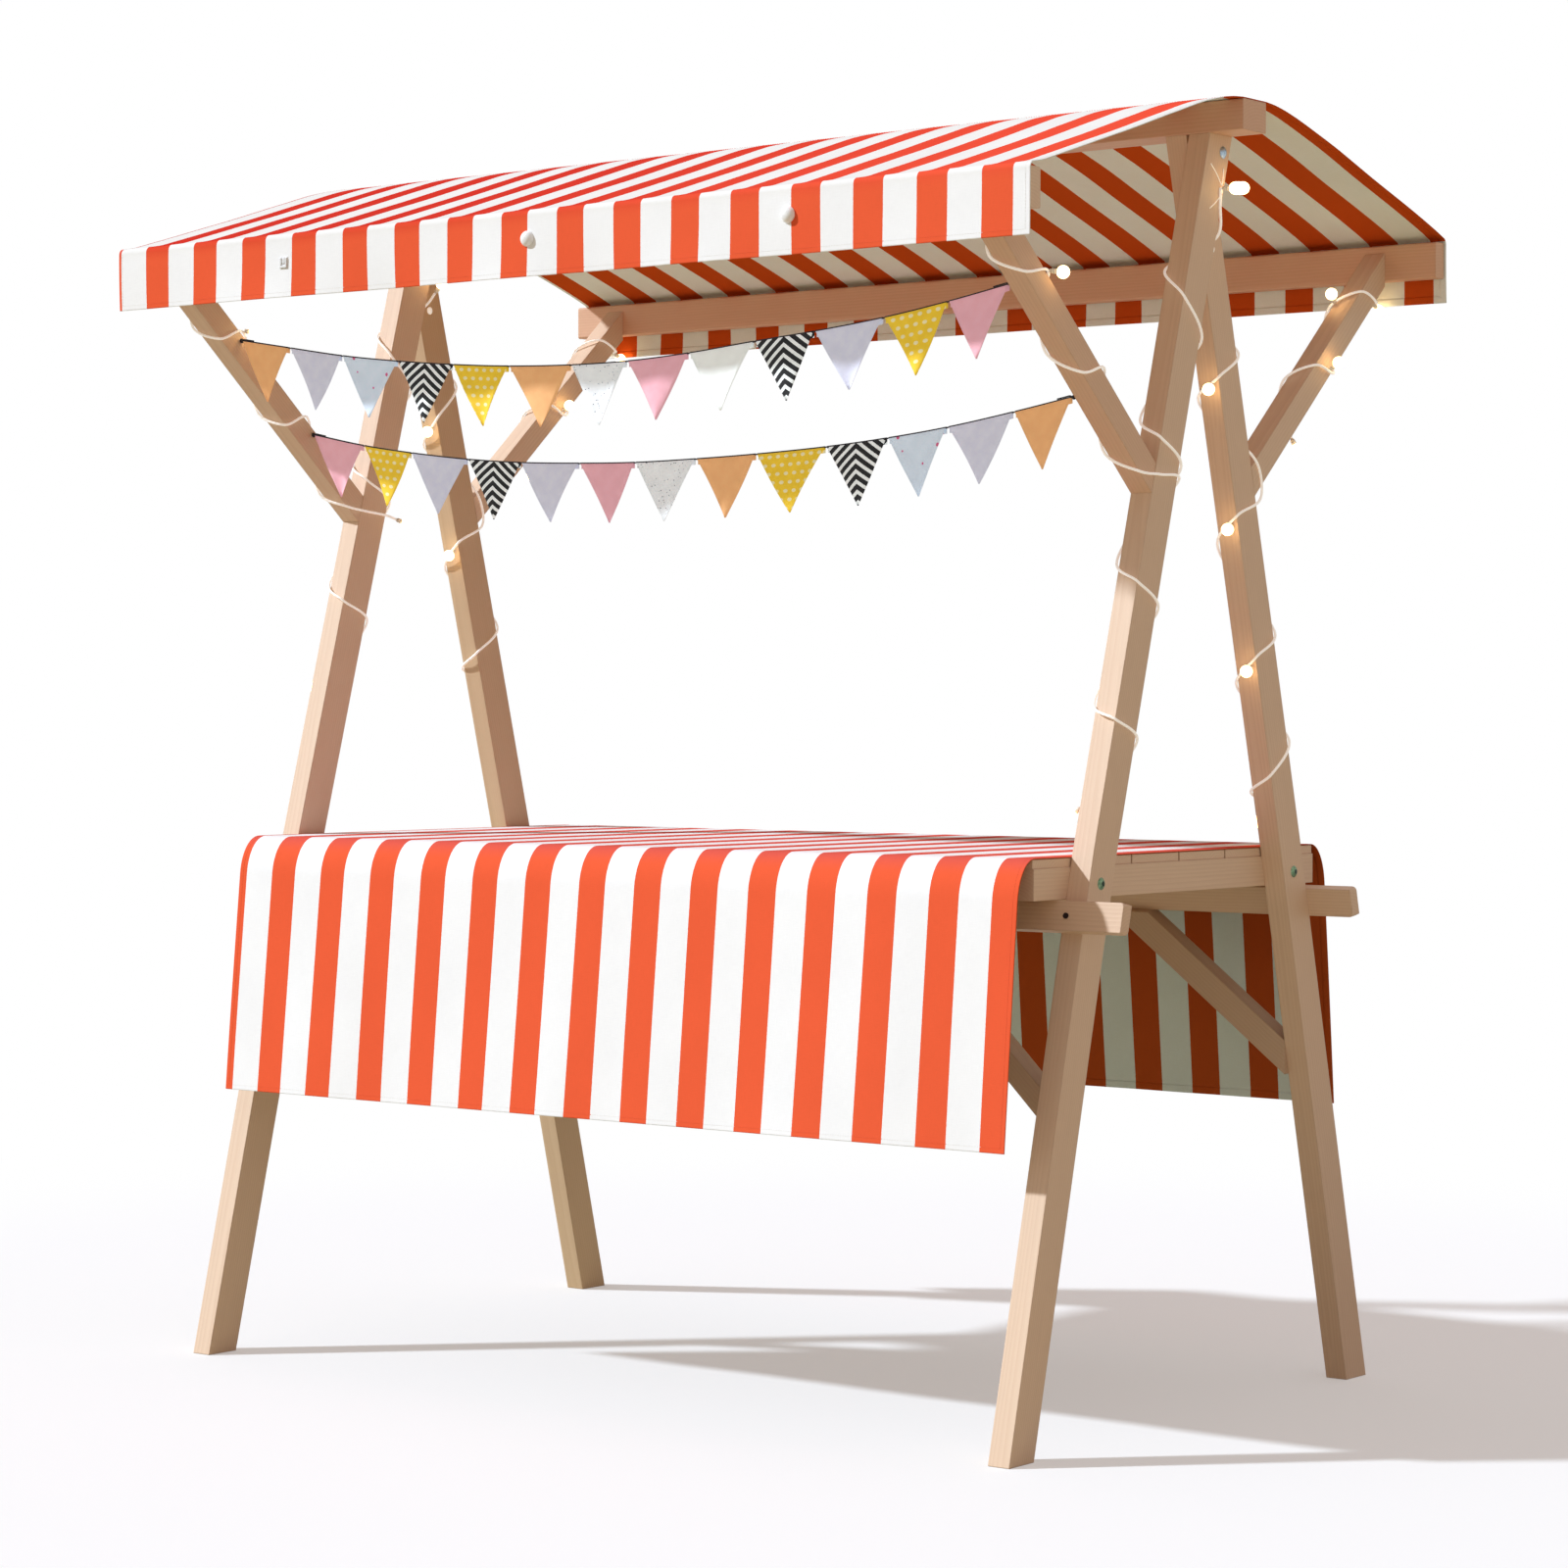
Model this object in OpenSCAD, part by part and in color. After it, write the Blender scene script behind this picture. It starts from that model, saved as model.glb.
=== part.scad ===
// Wooden market stall: two crossed-leg end frames carry a ridge beam, four struts
// carry the eave beams, and a table hangs between the frames under a cloth.
// X runs along the stall, Y from the customer's side (negative) to the back, Z is up.
// The origin is on the ground under the middle of the stall. All sizes are in millimetres.

/* [Leg frames] */
// Half length over the outer faces of the two leg frames, at the feet
frame_half = 855; // [800:1:900]
// Half depth over the outer edges of the feet
foot_half = 528; // [490:1:570]
// Height of the leg tops, which the ridge beam rests on
leg_top = 2014; // [1960:1:2080]
// Leg timber thickness, along the stall
leg_t = 38; // [34:0.5:42]
// Leg timber width, in the plane of the frame
leg_w = 63; // [56:0.5:70]
// How far the front legs have drifted to the right at their tops
front_drift = 32.5; // [28:0.5:36]
// Height above which the legs drift apart sideways
drift_start = 900; // [895:1:1000]

/* [Ridge and eaves] */
// How far the ridge beam reaches past half the canopy's length
ridge_over = 4.5; // [0:0.5:20]
// Width of the ridge beam
ridge_w = 68; // [62:1:76]
// Height of the ridge beam
ridge_h = 48; // [42:1:56]
// How far the eave beams stay short of half the canopy's length
eave_inset = 2.5; // [0:0.5:20]
// Distance from the middle plane to the inner face of an eave beam
eave_y = 588; // [560:1:620]
// Height of the underside of the eave beams
eave_z = 1837; // [1800:1:1870]
// Eave beam thickness
eave_t = 28; // [22:1:34]
// Eave beam height
eave_h = 60; // [50:1:70]
// Rounding of the eave and ridge beam edges
beam_round = 4; // [1:0.5:8]

/* [Struts and braces] */
// Struts that hold the eave beams: thickness along the stall
strut_t = 38; // [32:1:44]
// Strut width, from its lower to its upper face
strut_w = 42; // [36:1:48]
// Slope of the struts, in degrees above level
strut_angle = 41.4; // [38:0.1:45]
// Height of the front struts' lower edge where it meets the leg
strut_z_front = 1449; // [1420:1:1480]
// Height of the rear struts' lower edge where it meets the leg
strut_z_rear = 1459; // [1420:1:1490]
// Rear knee brace width
brace_w_rear = 44; // [32:1:52]
// Front knee brace width
brace_w_front = 36; // [32:1:52]
// Knee brace thickness, front to back
brace_t = 38; // [30:1:44]
// Slope of the rear knee braces, in degrees above level
brace_angle_rear = 37.3; // [34:0.1:48]
// Slope of the front knee braces, in degrees above level
brace_angle_front = 44; // [34:0.1:48]
// Distance from the middle plane to the nearer face of a knee brace
brace_y = 322; // [318:1:328]
// Height of the rear braces' lower edge where it meets the leg
brace_z_rear = 518; // [490:1:540]
// Height of the front braces' lower edge where it meets the leg
brace_z_front = 474; // [450:1:520]

/* [Table] */
// Height of the table boards' top
table_z = 892; // [880:1:894]
// Table board thickness
board_t = 14; // [12:0.5:18]
// Half depth of the table and its aprons
table_half_d = 411; // [390:1:430]
// Number of table boards
boards = 6; // [5:1:7]
// Gap between table boards
board_gap = 4; // [2:0.5:8]
// Clearance between the table board ends and the legs
board_end_gap = 2.5; // [1:0.5:4]
// Apron height
apron_h = 48; // [42:1:54]
// Apron thickness
apron_t = 28; // [22:1:34]
// Number of cross battens under the table boards
battens = 2; // [1:1:4]
// Cross batten width
batten_w = 38; // [28:1:60]

/* [Rails] */
// How far the rails reach past the right leg frame
rail_over_right = 81; // [40:1:110]
// How far the rails reach past the left leg frame
rail_over_left = 50; // [30:1:110]
// Height of the rails' lower inner edge
rail_z = 779; // [770:1:784]
// Rail width, along the leg
rail_w = 46; // [38:1:48]
// Rail thickness
rail_t = 22; // [18:1:28]
// Rounding of the rail ends
rail_round = 7; // [2:0.5:12]

/* [Cloth] */
// Half length of the canopy
canopy_half = 943.5; // [910:0.5:980]
// How far the canopy sits to the right of the middle
canopy_shift = 4.5; // [0:0.5:10]
// Canopy cloth thickness
canopy_t = 2; // [1.5:0.5:3]
// Height of the lower edge of the valance
valance_z = 1799; // [1760:1:1825]
// Half width of the tablecloth
cloth_half = 815.5; // [780:0.5:830]
// Tablecloth thickness
cloth_t = 2; // [1.5:0.5:3]
// Height of the lower edge of the tablecloth
cloth_low_z = 459; // [420:1:500]
// Half depth of the tablecloth over its lower edges
cloth_low_y = 489; // [470:1:520]
// Radius of the tablecloth's bend over the table edge
cloth_bend = 42; // [30:1:60]
// Valance button diameter
button_d = 25; // [15:1:30]
// Valance button height
button_h = 7; // [4:0.5:10]

/* [Bolts and screws] */
// Bolt shank diameter
bolt_d = 8; // [6:0.5:10]
// Bolt hole diameter
hole_d = 8.6; // [8.4:0.1:12]
// Bolt head diameter
head_d = 19; // [16:0.5:24]
// Bolt head height
head_h = 4.5; // [3:0.5:8]
// How far the bolt through each pair of legs sits below the leg tops
cross_bolt_drop = 27; // [20:1:60]
// Offset of that bolt towards the back
cross_bolt_y = 7; // [0:0.5:12]
// Rail screw head diameter
screw_d = 9; // [6:0.5:12]

/* [Bunting and lights] */
// Bunting string diameter
string_d = 2.5; // [2:0.5:4]
// Diameter of the tacks that hold the string's ends
tack_d = 6; // [4:0.5:10]
// Flag height
flag_h = 98; // [70:1:120]
// Flag thickness
flag_t = 1; // [0.8:0.1:2]
// Gap at each side of a flag along the string
flag_gap = 2.5; // [1:0.5:15]
// Light cord diameter
cord_d = 3.5; // [3:0.5:5]
// Bulb diameter
bulb_d = 20; // [16:0.5:26]

/* [Hidden] */
$fn = 32;

right = 1;
left = -1;
front = -1;
rear = 1;
wood = [0.90, 0.76, 0.62];
steel = [0.62, 0.66, 0.66];
// Clear space between a soft piece and what carries it
soft_gap = 0.3;
// Gap between the two legs of a frame where they pass each other
lap_gap = 0.4;
// Gap under a screw or button head
head_gap = 0.2;

// The legs' middle lines meet at the leg tops, which sets how far they lean
leg_reach = sqrt(foot_half * foot_half + leg_top * leg_top);
leg_lean = atan2(foot_half, leg_top) - asin(leg_w / 2 / leg_reach);
leg_half = leg_w / 2 / cos(leg_lean);
crotch_z = leg_top - leg_half / tan(leg_lean);
both_drift = (leg_t + lap_gap) * (leg_top - drift_start) / (crotch_z - drift_start);
rear_drift = both_drift - front_drift;
leg_in = frame_half - leg_t;
cross_bolt_z = leg_top - cross_bolt_drop;
ridge_half = canopy_half + ridge_over;
eave_half = canopy_half - eave_inset;
rail_left = -frame_half - rail_over_left;
rail_right = frame_half + rail_over_right;
apron_top = table_z - board_t;
apron_bolt_z = apron_top - apron_h / 2 - 1;

function leg_mid(z) = (leg_top - z) * tan(leg_lean);
function leg_out(z) = leg_mid(z) + leg_half;
function drift(run, z) =
    (run == front ? front_drift : -rear_drift) * max(0, z - drift_start) / (leg_top - drift_start);
function leg_x(side) = side == right ? leg_in : -frame_half;

// Pulls a Y-Z outline along X from x0 to x1
module along_x(x0, x1) {
    translate([x0, 0, 0]) rotate([90, 0, 90]) linear_extrude(x1 - x0) children();
}

// Pulls an X-Z outline along Y from y0 to y1
module along_y(y0, y1) {
    translate([0, y1, 0]) rotate([90, 0, 0]) linear_extrude(y1 - y0) children();
}

// A bar along X with a round section
module rod(x0, x1, y, z, d) {
    translate([x0, y, z]) rotate([0, 90, 0]) cylinder(h = x1 - x0, d = d);
}

// A low round dome that rises along Z
module dome(d, h) {
    r = (d * d / 4 + h * h) / (2 * h);
    rotate_extrude() intersection() {
        translate([0, h - r]) circle(r = r);
        square([d / 2, h]);
    }
}

// A rectangle from the point p, with rounded corners
module eased(p, size, r) {
    translate(p + [r, 0]) square([size.x - 2 * r, size.y]);
    translate(p + [0, r]) square([size.x, size.y - 2 * r]);
    for (x = [r, size.x - r])
        for (y = [r, size.y - r])
            translate(p + [x, y]) circle(r = r);
}

// One leg: its lean in the side view and its sideways drift in the front view
module leg(side, run) {
    x = leg_x(side);
    top = drift(run, leg_top);
    color(wood) difference() {
        intersection() {
            along_x(x - front_drift, x + leg_t + front_drift)
                polygon([[run * leg_out(0), 0], [run * (leg_out(0) - 2 * leg_half), 0],
                    [-run * leg_half, leg_top], [run * leg_half, leg_top]]);
            along_y(-foot_half, foot_half)
                polygon([[x, 0], [x + leg_t, 0], [x + leg_t, drift_start],
                    [x + leg_t + top, leg_top], [x + top, leg_top], [x, drift_start]]);
        }
        rod(x - front_drift, x + leg_t + front_drift, cross_bolt_y, cross_bolt_z, hole_d);
        rod(x - 1, x + leg_t + 1, run * leg_mid(apron_bolt_z), apron_bolt_z, hole_d);
    }
}

module ridge_beam() {
    color(wood) along_x(-ridge_half, ridge_half)
        eased([-ridge_w / 2, leg_top], [ridge_w, ridge_h], beam_round / 2);
}

module eave_beam(run) {
    y = run == front ? -eave_y - eave_t : eave_y;
    color(wood) along_x(canopy_shift - eave_half, canopy_shift + eave_half)
        eased([y, eave_z], [eave_t, eave_h], beam_round);
}

function strut_foot_z(run) = run == front ? strut_z_front : strut_z_rear;
function strut_x(side, run) = leg_x(side) + drift(run, strut_foot_z(run));

// A strut from the outer edge of a leg up to the inner face of an eave beam
module strut(side, run) {
    z0 = strut_foot_z(run);
    rise = tan(strut_angle);
    tall = strut_w / cos(strut_angle);
    // Height at which the strut's upper edge meets the leg's outer edge
    z1 = z0 + tall / (1 + rise * tan(leg_lean));
    reach = eave_y - leg_out(z0);
    x = strut_x(side, run);
    color(wood) along_x(x, x + strut_t)
        polygon([[run * leg_out(z0), z0], [run * leg_out(z1), z1],
            [run * eave_y, z0 + reach * rise + tall], [run * eave_y, z0 + reach * rise]]);
}

module end_apron(side) {
    x = side == right ? leg_in - apron_t : -leg_in;
    color(wood) difference() {
        translate([x, -table_half_d, apron_top - apron_h])
            cube([apron_t, 2 * table_half_d, apron_h]);
        for (run = [front, rear])
            rod(x - 1, x + apron_t + 1, run * leg_mid(apron_bolt_z), apron_bolt_z, hole_d);
    }
}

module long_apron(run) {
    y = run == front ? -table_half_d : table_half_d - apron_t;
    color(wood) translate([-leg_in + apron_t, y, apron_top - apron_h])
        cube([2 * (leg_in - apron_t), apron_t, apron_h]);
}

module table_battens() {
    bay = 2 * (leg_in - apron_t) / (battens + 1);
    inside = table_half_d - apron_t;
    color(wood) for (i = [1 : battens])
        translate([i * bay - leg_in + apron_t - batten_w / 2, -inside, apron_top - apron_h])
            cube([batten_w, 2 * inside, apron_h]);
}

module table_boards() {
    board_w = (2 * table_half_d - (boards - 1) * board_gap) / boards;
    length = 2 * (leg_in - board_end_gap);
    color(wood) for (i = [0 : boards - 1])
        translate([-length / 2, i * (board_w + board_gap) - table_half_d, apron_top])
            cube([length, board_w, board_t]);
}

// A rail that lies on the sloping outer faces of the legs
module rail(run) {
    up = rail_w * cos(leg_lean);
    lie = [run * cos(leg_lean), sin(leg_lean)] * rail_t;
    low = [run * leg_out(rail_z), rail_z];
    high = [run * leg_out(rail_z + up), rail_z + up];
    color(wood) intersection() {
        along_x(rail_left, rail_right) polygon([low, high, high + lie, low + lie]);
        along_y(-foot_half, foot_half) rail_outline();
    }
}

// The rail's face with rounded ends, tall enough for its slope
module rail_outline() {
    tall = rail_w * cos(leg_lean) + rail_t * sin(leg_lean);
    eased([rail_left, rail_z], [rail_right - rail_left, tall], rail_round);
}

// A knee brace from the inner face of a leg up to the underside of a rail
module knee_brace(side, run) {
    z0 = run == front ? brace_z_front : brace_z_rear;
    brace_angle = run == front ? brace_angle_front : brace_angle_rear;
    tall = (run == front ? brace_w_front : brace_w_rear) / cos(brace_angle);
    top_z = rail_z + rail_t;
    low_x = leg_in - (top_z - z0) / tan(brace_angle);
    high_x = leg_in - (top_z - z0 - tall) / tan(brace_angle);
    // The rail's underside rises outwards, square to the leg
    near_z = rail_z + (brace_y - leg_out(rail_z)) * tan(leg_lean);
    far_z = near_z + brace_t * tan(leg_lean);
    far_y = brace_y + brace_t;
    color(wood) intersection() {
        along_y(min(run * brace_y, run * far_y), max(run * brace_y, run * far_y))
            polygon([[side * leg_in, z0], [side * leg_in, z0 + tall],
                [side * high_x, top_z], [side * low_x, top_z]]);
        along_x(-leg_in, leg_in)
            polygon([[run * brace_y, 0], [run * far_y, 0], [run * far_y, far_z],
                [run * brace_y, near_z]]);
    }
}

// Right half of the canopy's outer line, from the ridge to the hem: [y, z]
ridge_top = leg_top + ridge_h;
canopy_top = ridge_top + soft_gap + canopy_t;
canopy_edge = eave_y + eave_t + soft_gap + canopy_t;
eave_top = eave_z + eave_h;
// How far the canopy's bend starts inside the eave beam's outer face, and above its top
bend_in = 6;
bend_up = 9;
roof_run = eave_y + eave_t - bend_in - ridge_w / 2;
roof_fall = canopy_top - eave_top - bend_up;
// The canopy's sag between the ridge and the eave: [share of the run, share of the fall]
roof_curve = [[0, 0], [0.045, 0.013], [0.1, 0.044], [0.15, 0.082], [0.2, 0.126], [0.26, 0.183],
    [0.37, 0.291], [0.58, 0.524], [0.82, 0.783], [0.955, 0.941], [1, 1]];
roof_line = concat([for (p = roof_curve)
        [ridge_w / 2 + p.x * roof_run, canopy_top - p.y * roof_fall]],
    [[canopy_edge - bend_in / 6, eave_top + bend_up / 2], [canopy_edge, eave_top - canopy_t],
        [canopy_edge, valance_z]]);

function mirrored(line) = [for (p = line) [-p.x, p.y]];
function backwards(line) = [for (i = [len(line) - 1 : -1 : 0]) line[i]];
// The unit normal of a line at point i, pointing to its right hand
function tangent(line, i) =
    line[min(i + 1, len(line) - 1)] - line[max(i - 1, 0)];
function inner(line, t) = [for (i = [0 : len(line) - 1])
    let (d = tangent(line, i), n = [d.y, -d.x] / norm(d)) line[i] + n * t];

// A sheet from x0 to x1 with an outer line that is the same front and rear
module sheet(line, t, x0, x1) {
    outer = concat(mirrored(backwards(line)), line);
    along_x(x0, x1) polygon(concat(outer, backwards(inner(outer, t))));
}

module canopy() {
    color([0.95, 0.45, 0.28]) sheet(roof_line, canopy_t, canopy_shift - canopy_half,
        canopy_shift + canopy_half);
}

// The tablecloth's outer line: flat on the table, round its edge and down to the hem
cloth_top = table_z + soft_gap + cloth_t;
cloth_lean = atan2(cloth_low_y - table_half_d - cloth_bend, cloth_top - cloth_bend - cloth_low_z);
bend_steps = 6;
cloth_line = concat([[table_half_d - 20, cloth_top]],
    [for (i = [0 : bend_steps]) let (a = (90 - cloth_lean) * (1 - i / bend_steps) + cloth_lean)
        [table_half_d + cloth_bend * cos(a), cloth_top - cloth_bend + cloth_bend * sin(a)]],
    [[cloth_low_y, cloth_low_z]]);

module tablecloth() {
    color([0.96, 0.48, 0.30]) sheet(cloth_line, cloth_t, -cloth_half, cloth_half);
}

// Where the buttons sit along the valances
button_x = [-7, 512];
button_z = 1857;

module valance_buttons() {
    color(steel) for (x = button_x)
        for (run = [front, rear])
            translate([x, run * (canopy_edge + head_gap), button_z])
                rotate([run * -90, 0, 0]) dome(button_d, button_h);
}

// Bunting strings, from the left front strut to the right one
upper_string = [[-797, -464, 1750], [-680, -466, 1731], [-554, -469, 1711], [-423, -471, 1695],
    [-298, -473, 1683], [-172, -476, 1674], [-37, -478, 1669], [82, -480, 1669],
    [210, -482, 1675], [343, -485, 1686], [462, -487, 1695], [595, -490, 1708],
    [716, -492, 1725], [829, -494, 1744]];
lower_string = [[-797, -288, 1597], [-673, -291, 1573], [-558, -294, 1556], [-424, -297, 1540],
    [-301, -300, 1530], [-169, -303, 1524], [-47, -305, 1521], [84, -308, 1522],
    [211, -311, 1525], [354, -315, 1531], [477, -318, 1540], [593, -320, 1552],
    [719, -323, 1570], [829, -326, 1588]];

function unit(v) = v / norm(v);
// Two directions across a route at point i
function along(route, i) =
    unit(route[min(i + 1, len(route) - 1)] - route[max(i - 1, 0)]);
function across(d) = abs(d.z) > 0.9 ? unit(cross(d, [0, 1, 0])) : unit(cross(d, [0, 0, 1]));

// A round tube along a route of points, as one polyhedron
module tube(route, d) {
    sides = 8;
    n = len(route);
    points = [for (i = [0 : n - 1])
        let (t = along(route, i), u = across(t), v = cross(t, u))
        for (k = [0 : sides - 1])
            let (a = 360 * k / sides) route[i] + (u * cos(a) + v * sin(a)) * d / 2];
    walls = [for (i = [0 : n - 2])
        for (k = [0 : sides - 1])
            let (a = i * sides + k, b = i * sides + (k + 1) % sides)
            [a, a + sides, b + sides, b]];
    start = [for (k = [0 : sides - 1]) k];
    end = [for (k = [sides - 1 : -1 : 0]) (n - 1) * sides + k];
    polyhedron(points, concat([start], walls, [end]));
}

module string(route) {
    color([0.12, 0.12, 0.14]) tube(route, string_d);
}

// Flags hang from the string, one between each pair of its points
module flags(route) {
    drop = string_d / 2 + soft_gap;
    for (i = [0 : len(route) - 2]) {
        a = route[i];
        b = route[i + 1];
        d = unit(b - a);
        p = a + d * flag_gap;
        q = b - d * flag_gap;
        m = (p + q) / 2;
        color([0.9, 0.8, 0.7]) along_y(m.y - flag_t / 2, m.y + flag_t / 2)
            polygon([[p.x, p.z - drop], [q.x, q.z - drop], [m.x, m.z - drop - flag_h]]);
    }
}

// A tack on the inner face of a strut, which the string's end is knotted to
module tie(side, point) {
    x = strut_x(side, front);
    h = side == right ? x - point.x - soft_gap : point.x - x - strut_t - soft_gap;
    x0 = side == right ? x - h : x + strut_t;
    rod(x0, x0 + h, point.y, point.z, tack_d);
}

module bunting_ties() {
    color([0.12, 0.12, 0.14]) for (route = [upper_string, lower_string]) {
        tie(left, route[0]);
        tie(right, route[len(route) - 1]);
    }
}

// The light cord lies this far from the wood, to the middle of the cord
cord_off = cord_d / 2 + soft_gap + 0.4;

// Routes of the light cord round the legs. Each entry is [side along X, side along Y,
// height], where -1 and 1 are the faces of the leg.
cord_front_right = [[1, 0.56, 1931], [1, 0.75, 1905], [1, 1, 1858], [-1, 1, 1830],
    [-1, -1, 1795], [1, -1, 1755], [1, 1, 1690], [-1, 1, 1645],
    [-1, -1, 1560], [1, -1, 1534], [1, 1, 1492], [-1, 1, 1433],
    [-1, -1, 1337], [1, -1, 1312], [1, 1, 1272], [-1, 1, 1215],
    [-1, -1, 1121], [1, -1, 1102], [1, 1, 1070], [-1, 1, 1010], [-1, 0, 985], [-1.6, -0.2, 968]];
cord_front_left = [[1.6, 1, 1868], [1, 1, 1850], [-1, 1, 1822],
    [-1, -1, 1787], [1, -1, 1750], [1, 1, 1690], [-1, 1, 1640],
    [-1, -1, 1551], [1, -1, 1524], [1, 1, 1485], [-1, 1, 1430],
    [-1, -1, 1333], [1, -1, 1307], [1, 1, 1273], [-1, 1, 1212], [-1, 0, 1187], [-1.6, -0.2, 1170]];
cord_rear_right = [[-1.6, 0.5, 1752], [-1, 0.8, 1735], [-1, 1, 1725],
    [1, 1, 1683], [1, -1, 1642], [-1, -1, 1612], [-1, 1, 1560],
    [1, 1, 1524], [1, 1.55, 1497], [1, 1.3, 1456], [1, -1, 1425], [-1, -1, 1385], [-1, 1, 1304],
    [1, 1, 1238], [1, -1, 1200], [-1, -1, 1160], [-1, 1, 1112],
    [1, 1, 1067], [1, -1, 1012], [-1, -1, 984], [-1, 0, 965], [-1.6, 0.2, 948]];
cord_rear_left = [[-1.6, 0.5, 1777], [-1, 0.8, 1760], [-1, 1, 1750],
    [1, 1, 1709], [1, -1, 1645], [-1, -1, 1600], [-1, 1, 1560],
    [1, 1, 1524], [1, 1.4, 1492], [1, 1.2, 1456], [1, -1, 1420], [-1, -1, 1375], [-1, 1, 1322],
    [1, 1, 1265], [1, -1, 1218], [-1, -1, 1190], [-1, 0, 1170], [-1.6, 0.2, 1153]];

// The same round the struts: [side along X, side from lower to upper face, way up from the foot]
cord_strut_front_right = [[0, 1.6, 560], [0, 1, 548], [-1, 1, 535],
    [-1, -1, 505], [1, -1, 470], [1, 1, 426], [-1, 1, 365],
    [-1, -1, 305], [1, -1, 262], [1, 1, 225], [-1, 1, 155], [-1, -1, 90], [1, -1, 50]];
cord_strut_front_left = [[0, 1.6, 555], [0, 1, 543], [-1, 1, 530],
    [-1, -1, 486], [1, -1, 458], [1, 1, 430], [-1, 1, 350],
    [-1, -1, 276], [1, -1, 248], [1, 1, 221], [-1, 1, 145], [-1, -1, 73], [1, -1, 42]];
cord_strut_rear_right = [[0, -1.6, 535], [0, -1, 530], [1, -1, 515], [1, 1, 485],
    [-1, 1, 444], [-1, -1, 385], [1, -1, 323], [1, 1, 285], [-1, 1, 247], [-1, -1, 195],
    [-0.2, -1, 180], [0.2, -1.6, 170]];
cord_strut_rear_left = [[0, -1.6, 540], [0, -1, 535], [1, -1, 525], [1, 1, 500],
    [-1, 1, 470], [-1, -1, 400], [1, -1, 326], [1, 1, 300], [-1, 1, 272], [-1, -1, 215],
    [-0.2, -1, 200], [0.2, -1.6, 190]];
// The front struts' cords end on the leg
cord_tail_right = [[1, -0.6, 1478], [1, 1, 1474], [-1, 1, 1415], [-1.5, 1.5, 1402]];
cord_tail_left = [[1, -0.6, 1468], [1, 1, 1462], [1.3, 1.5, 1456]];

function on_leg(side, run, turns) = [for (t = turns)
    [leg_x(side) + leg_t / 2 + drift(run, t.z) + t.x * (leg_t / 2 + cord_off),
        run * leg_mid(t.z) + t.y * (leg_half + cord_off), t.z]];
function on_strut(side, run, turns) =
    let (z0 = strut_foot_z(run), x0 = strut_x(side, run) + strut_t / 2)
    [for (t = turns)
        let (up = strut_w / 2 + t.y * (strut_w / 2 + cord_off))
        [x0 + t.x * (strut_t / 2 + cord_off),
            run * (leg_out(z0) + t.z * cos(strut_angle) - up * sin(strut_angle)),
            z0 + t.z * sin(strut_angle) + up * cos(strut_angle)]];

function leg_cord(side, run) = on_leg(side, run,
    run == front ? (side == right ? cord_front_right : cord_front_left)
        : (side == right ? cord_rear_right : cord_rear_left));
function strut_cord(side, run) = run == front
    ? concat(on_strut(side, front, side == right ? cord_strut_front_right : cord_strut_front_left),
        on_leg(side, front, side == right ? cord_tail_right : cord_tail_left))
    : on_strut(side, rear, side == right ? cord_strut_rear_right : cord_strut_rear_left);

module light_cord(side) {
    color([0.96, 0.95, 0.92]) for (run = [front, rear]) {
        tube(leg_cord(side, run), cord_d);
        tube(strut_cord(side, run), cord_d);
    }
}

holder_d = 8;
holder_h = 12;

// A bulb in its holder that stands off the point p, the given way
module bulb(p, way, off, stretch = 0) {
    sink = 1;
    body = off + holder_h + bulb_d / 2 - sink;
    translate(p) rotate([0, acos(way.z), atan2(way.y, way.x)]) {
        translate([0, 0, off]) cylinder(h = holder_h, d = holder_d);
        translate([0, 0, body]) sphere(d = bulb_d);
        if (stretch > 0) {
            translate([0, 0, body]) cylinder(h = stretch, d = bulb_d);
            translate([0, 0, body + stretch]) sphere(d = bulb_d);
        }
    }
}

// A bulb square to the cord, part of the way t from point i to the next one
module side_bulb(route, i, t, towards, stretch = 0) {
    d = unit(route[i + 1] - route[i]);
    way = unit(towards - d * (towards * d));
    bulb(route[i] + (route[i + 1] - route[i]) * t, way, cord_d / 2 + head_gap, stretch);
}

// A bulb at the start or the end of a cord, in line with it
module end_bulb(p, before) {
    bulb(p, unit(p - before), head_gap);
}

module end_bulbs(route, first) {
    n = len(route) - 1;
    if (first) end_bulb(route[0], route[1]);
    end_bulb(route[n], route[n - 1]);
}

module light_bulbs(side) {
    leg_rear = leg_cord(side, rear);
    strut_front = strut_cord(side, front);
    strut_rear = strut_cord(side, rear);
    outwards = [0.85, 0.5, 0];
    forwards = [0.1, -0.75, -0.5];
    upwards = [0.3, -0.5, 0.8];
    color([1.0, 0.93, 0.75]) {
        end_bulbs(leg_cord(side, front), side == left);
        end_bulbs(leg_rear, true);
        end_bulbs(strut_front, true);
        end_bulbs(strut_rear, true);
        side_bulb(strut_front, 5, 0, outwards);
        side_bulb(leg_rear, 4, 0.3, forwards);
        side_bulb(leg_rear, 10, 0.3, forwards);
        side_bulb(strut_rear, 6, 0.3, outwards + upwards);
        if (side == right) {
            side_bulb(leg_cord(right, front), 0, 0, outwards, holder_h);
            side_bulb(leg_rear, 14, 0.3, forwards);
            side_bulb(strut_rear, 3, 0.8, upwards);
        }
    }
}

// A bolt along X with a domed head at x1 and a nut at x0
module bolt(x0, x1, y, z) {
    rod(x0 - head_gap - head_h, x1 + head_gap + head_h / 2, y, z, bolt_d);
    translate([x1 + head_gap, y, z]) rotate([0, 90, 0]) dome(head_d, head_h);
    rod(x0 - head_gap - head_h, x0 - head_gap, y, z, head_d);
}

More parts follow.
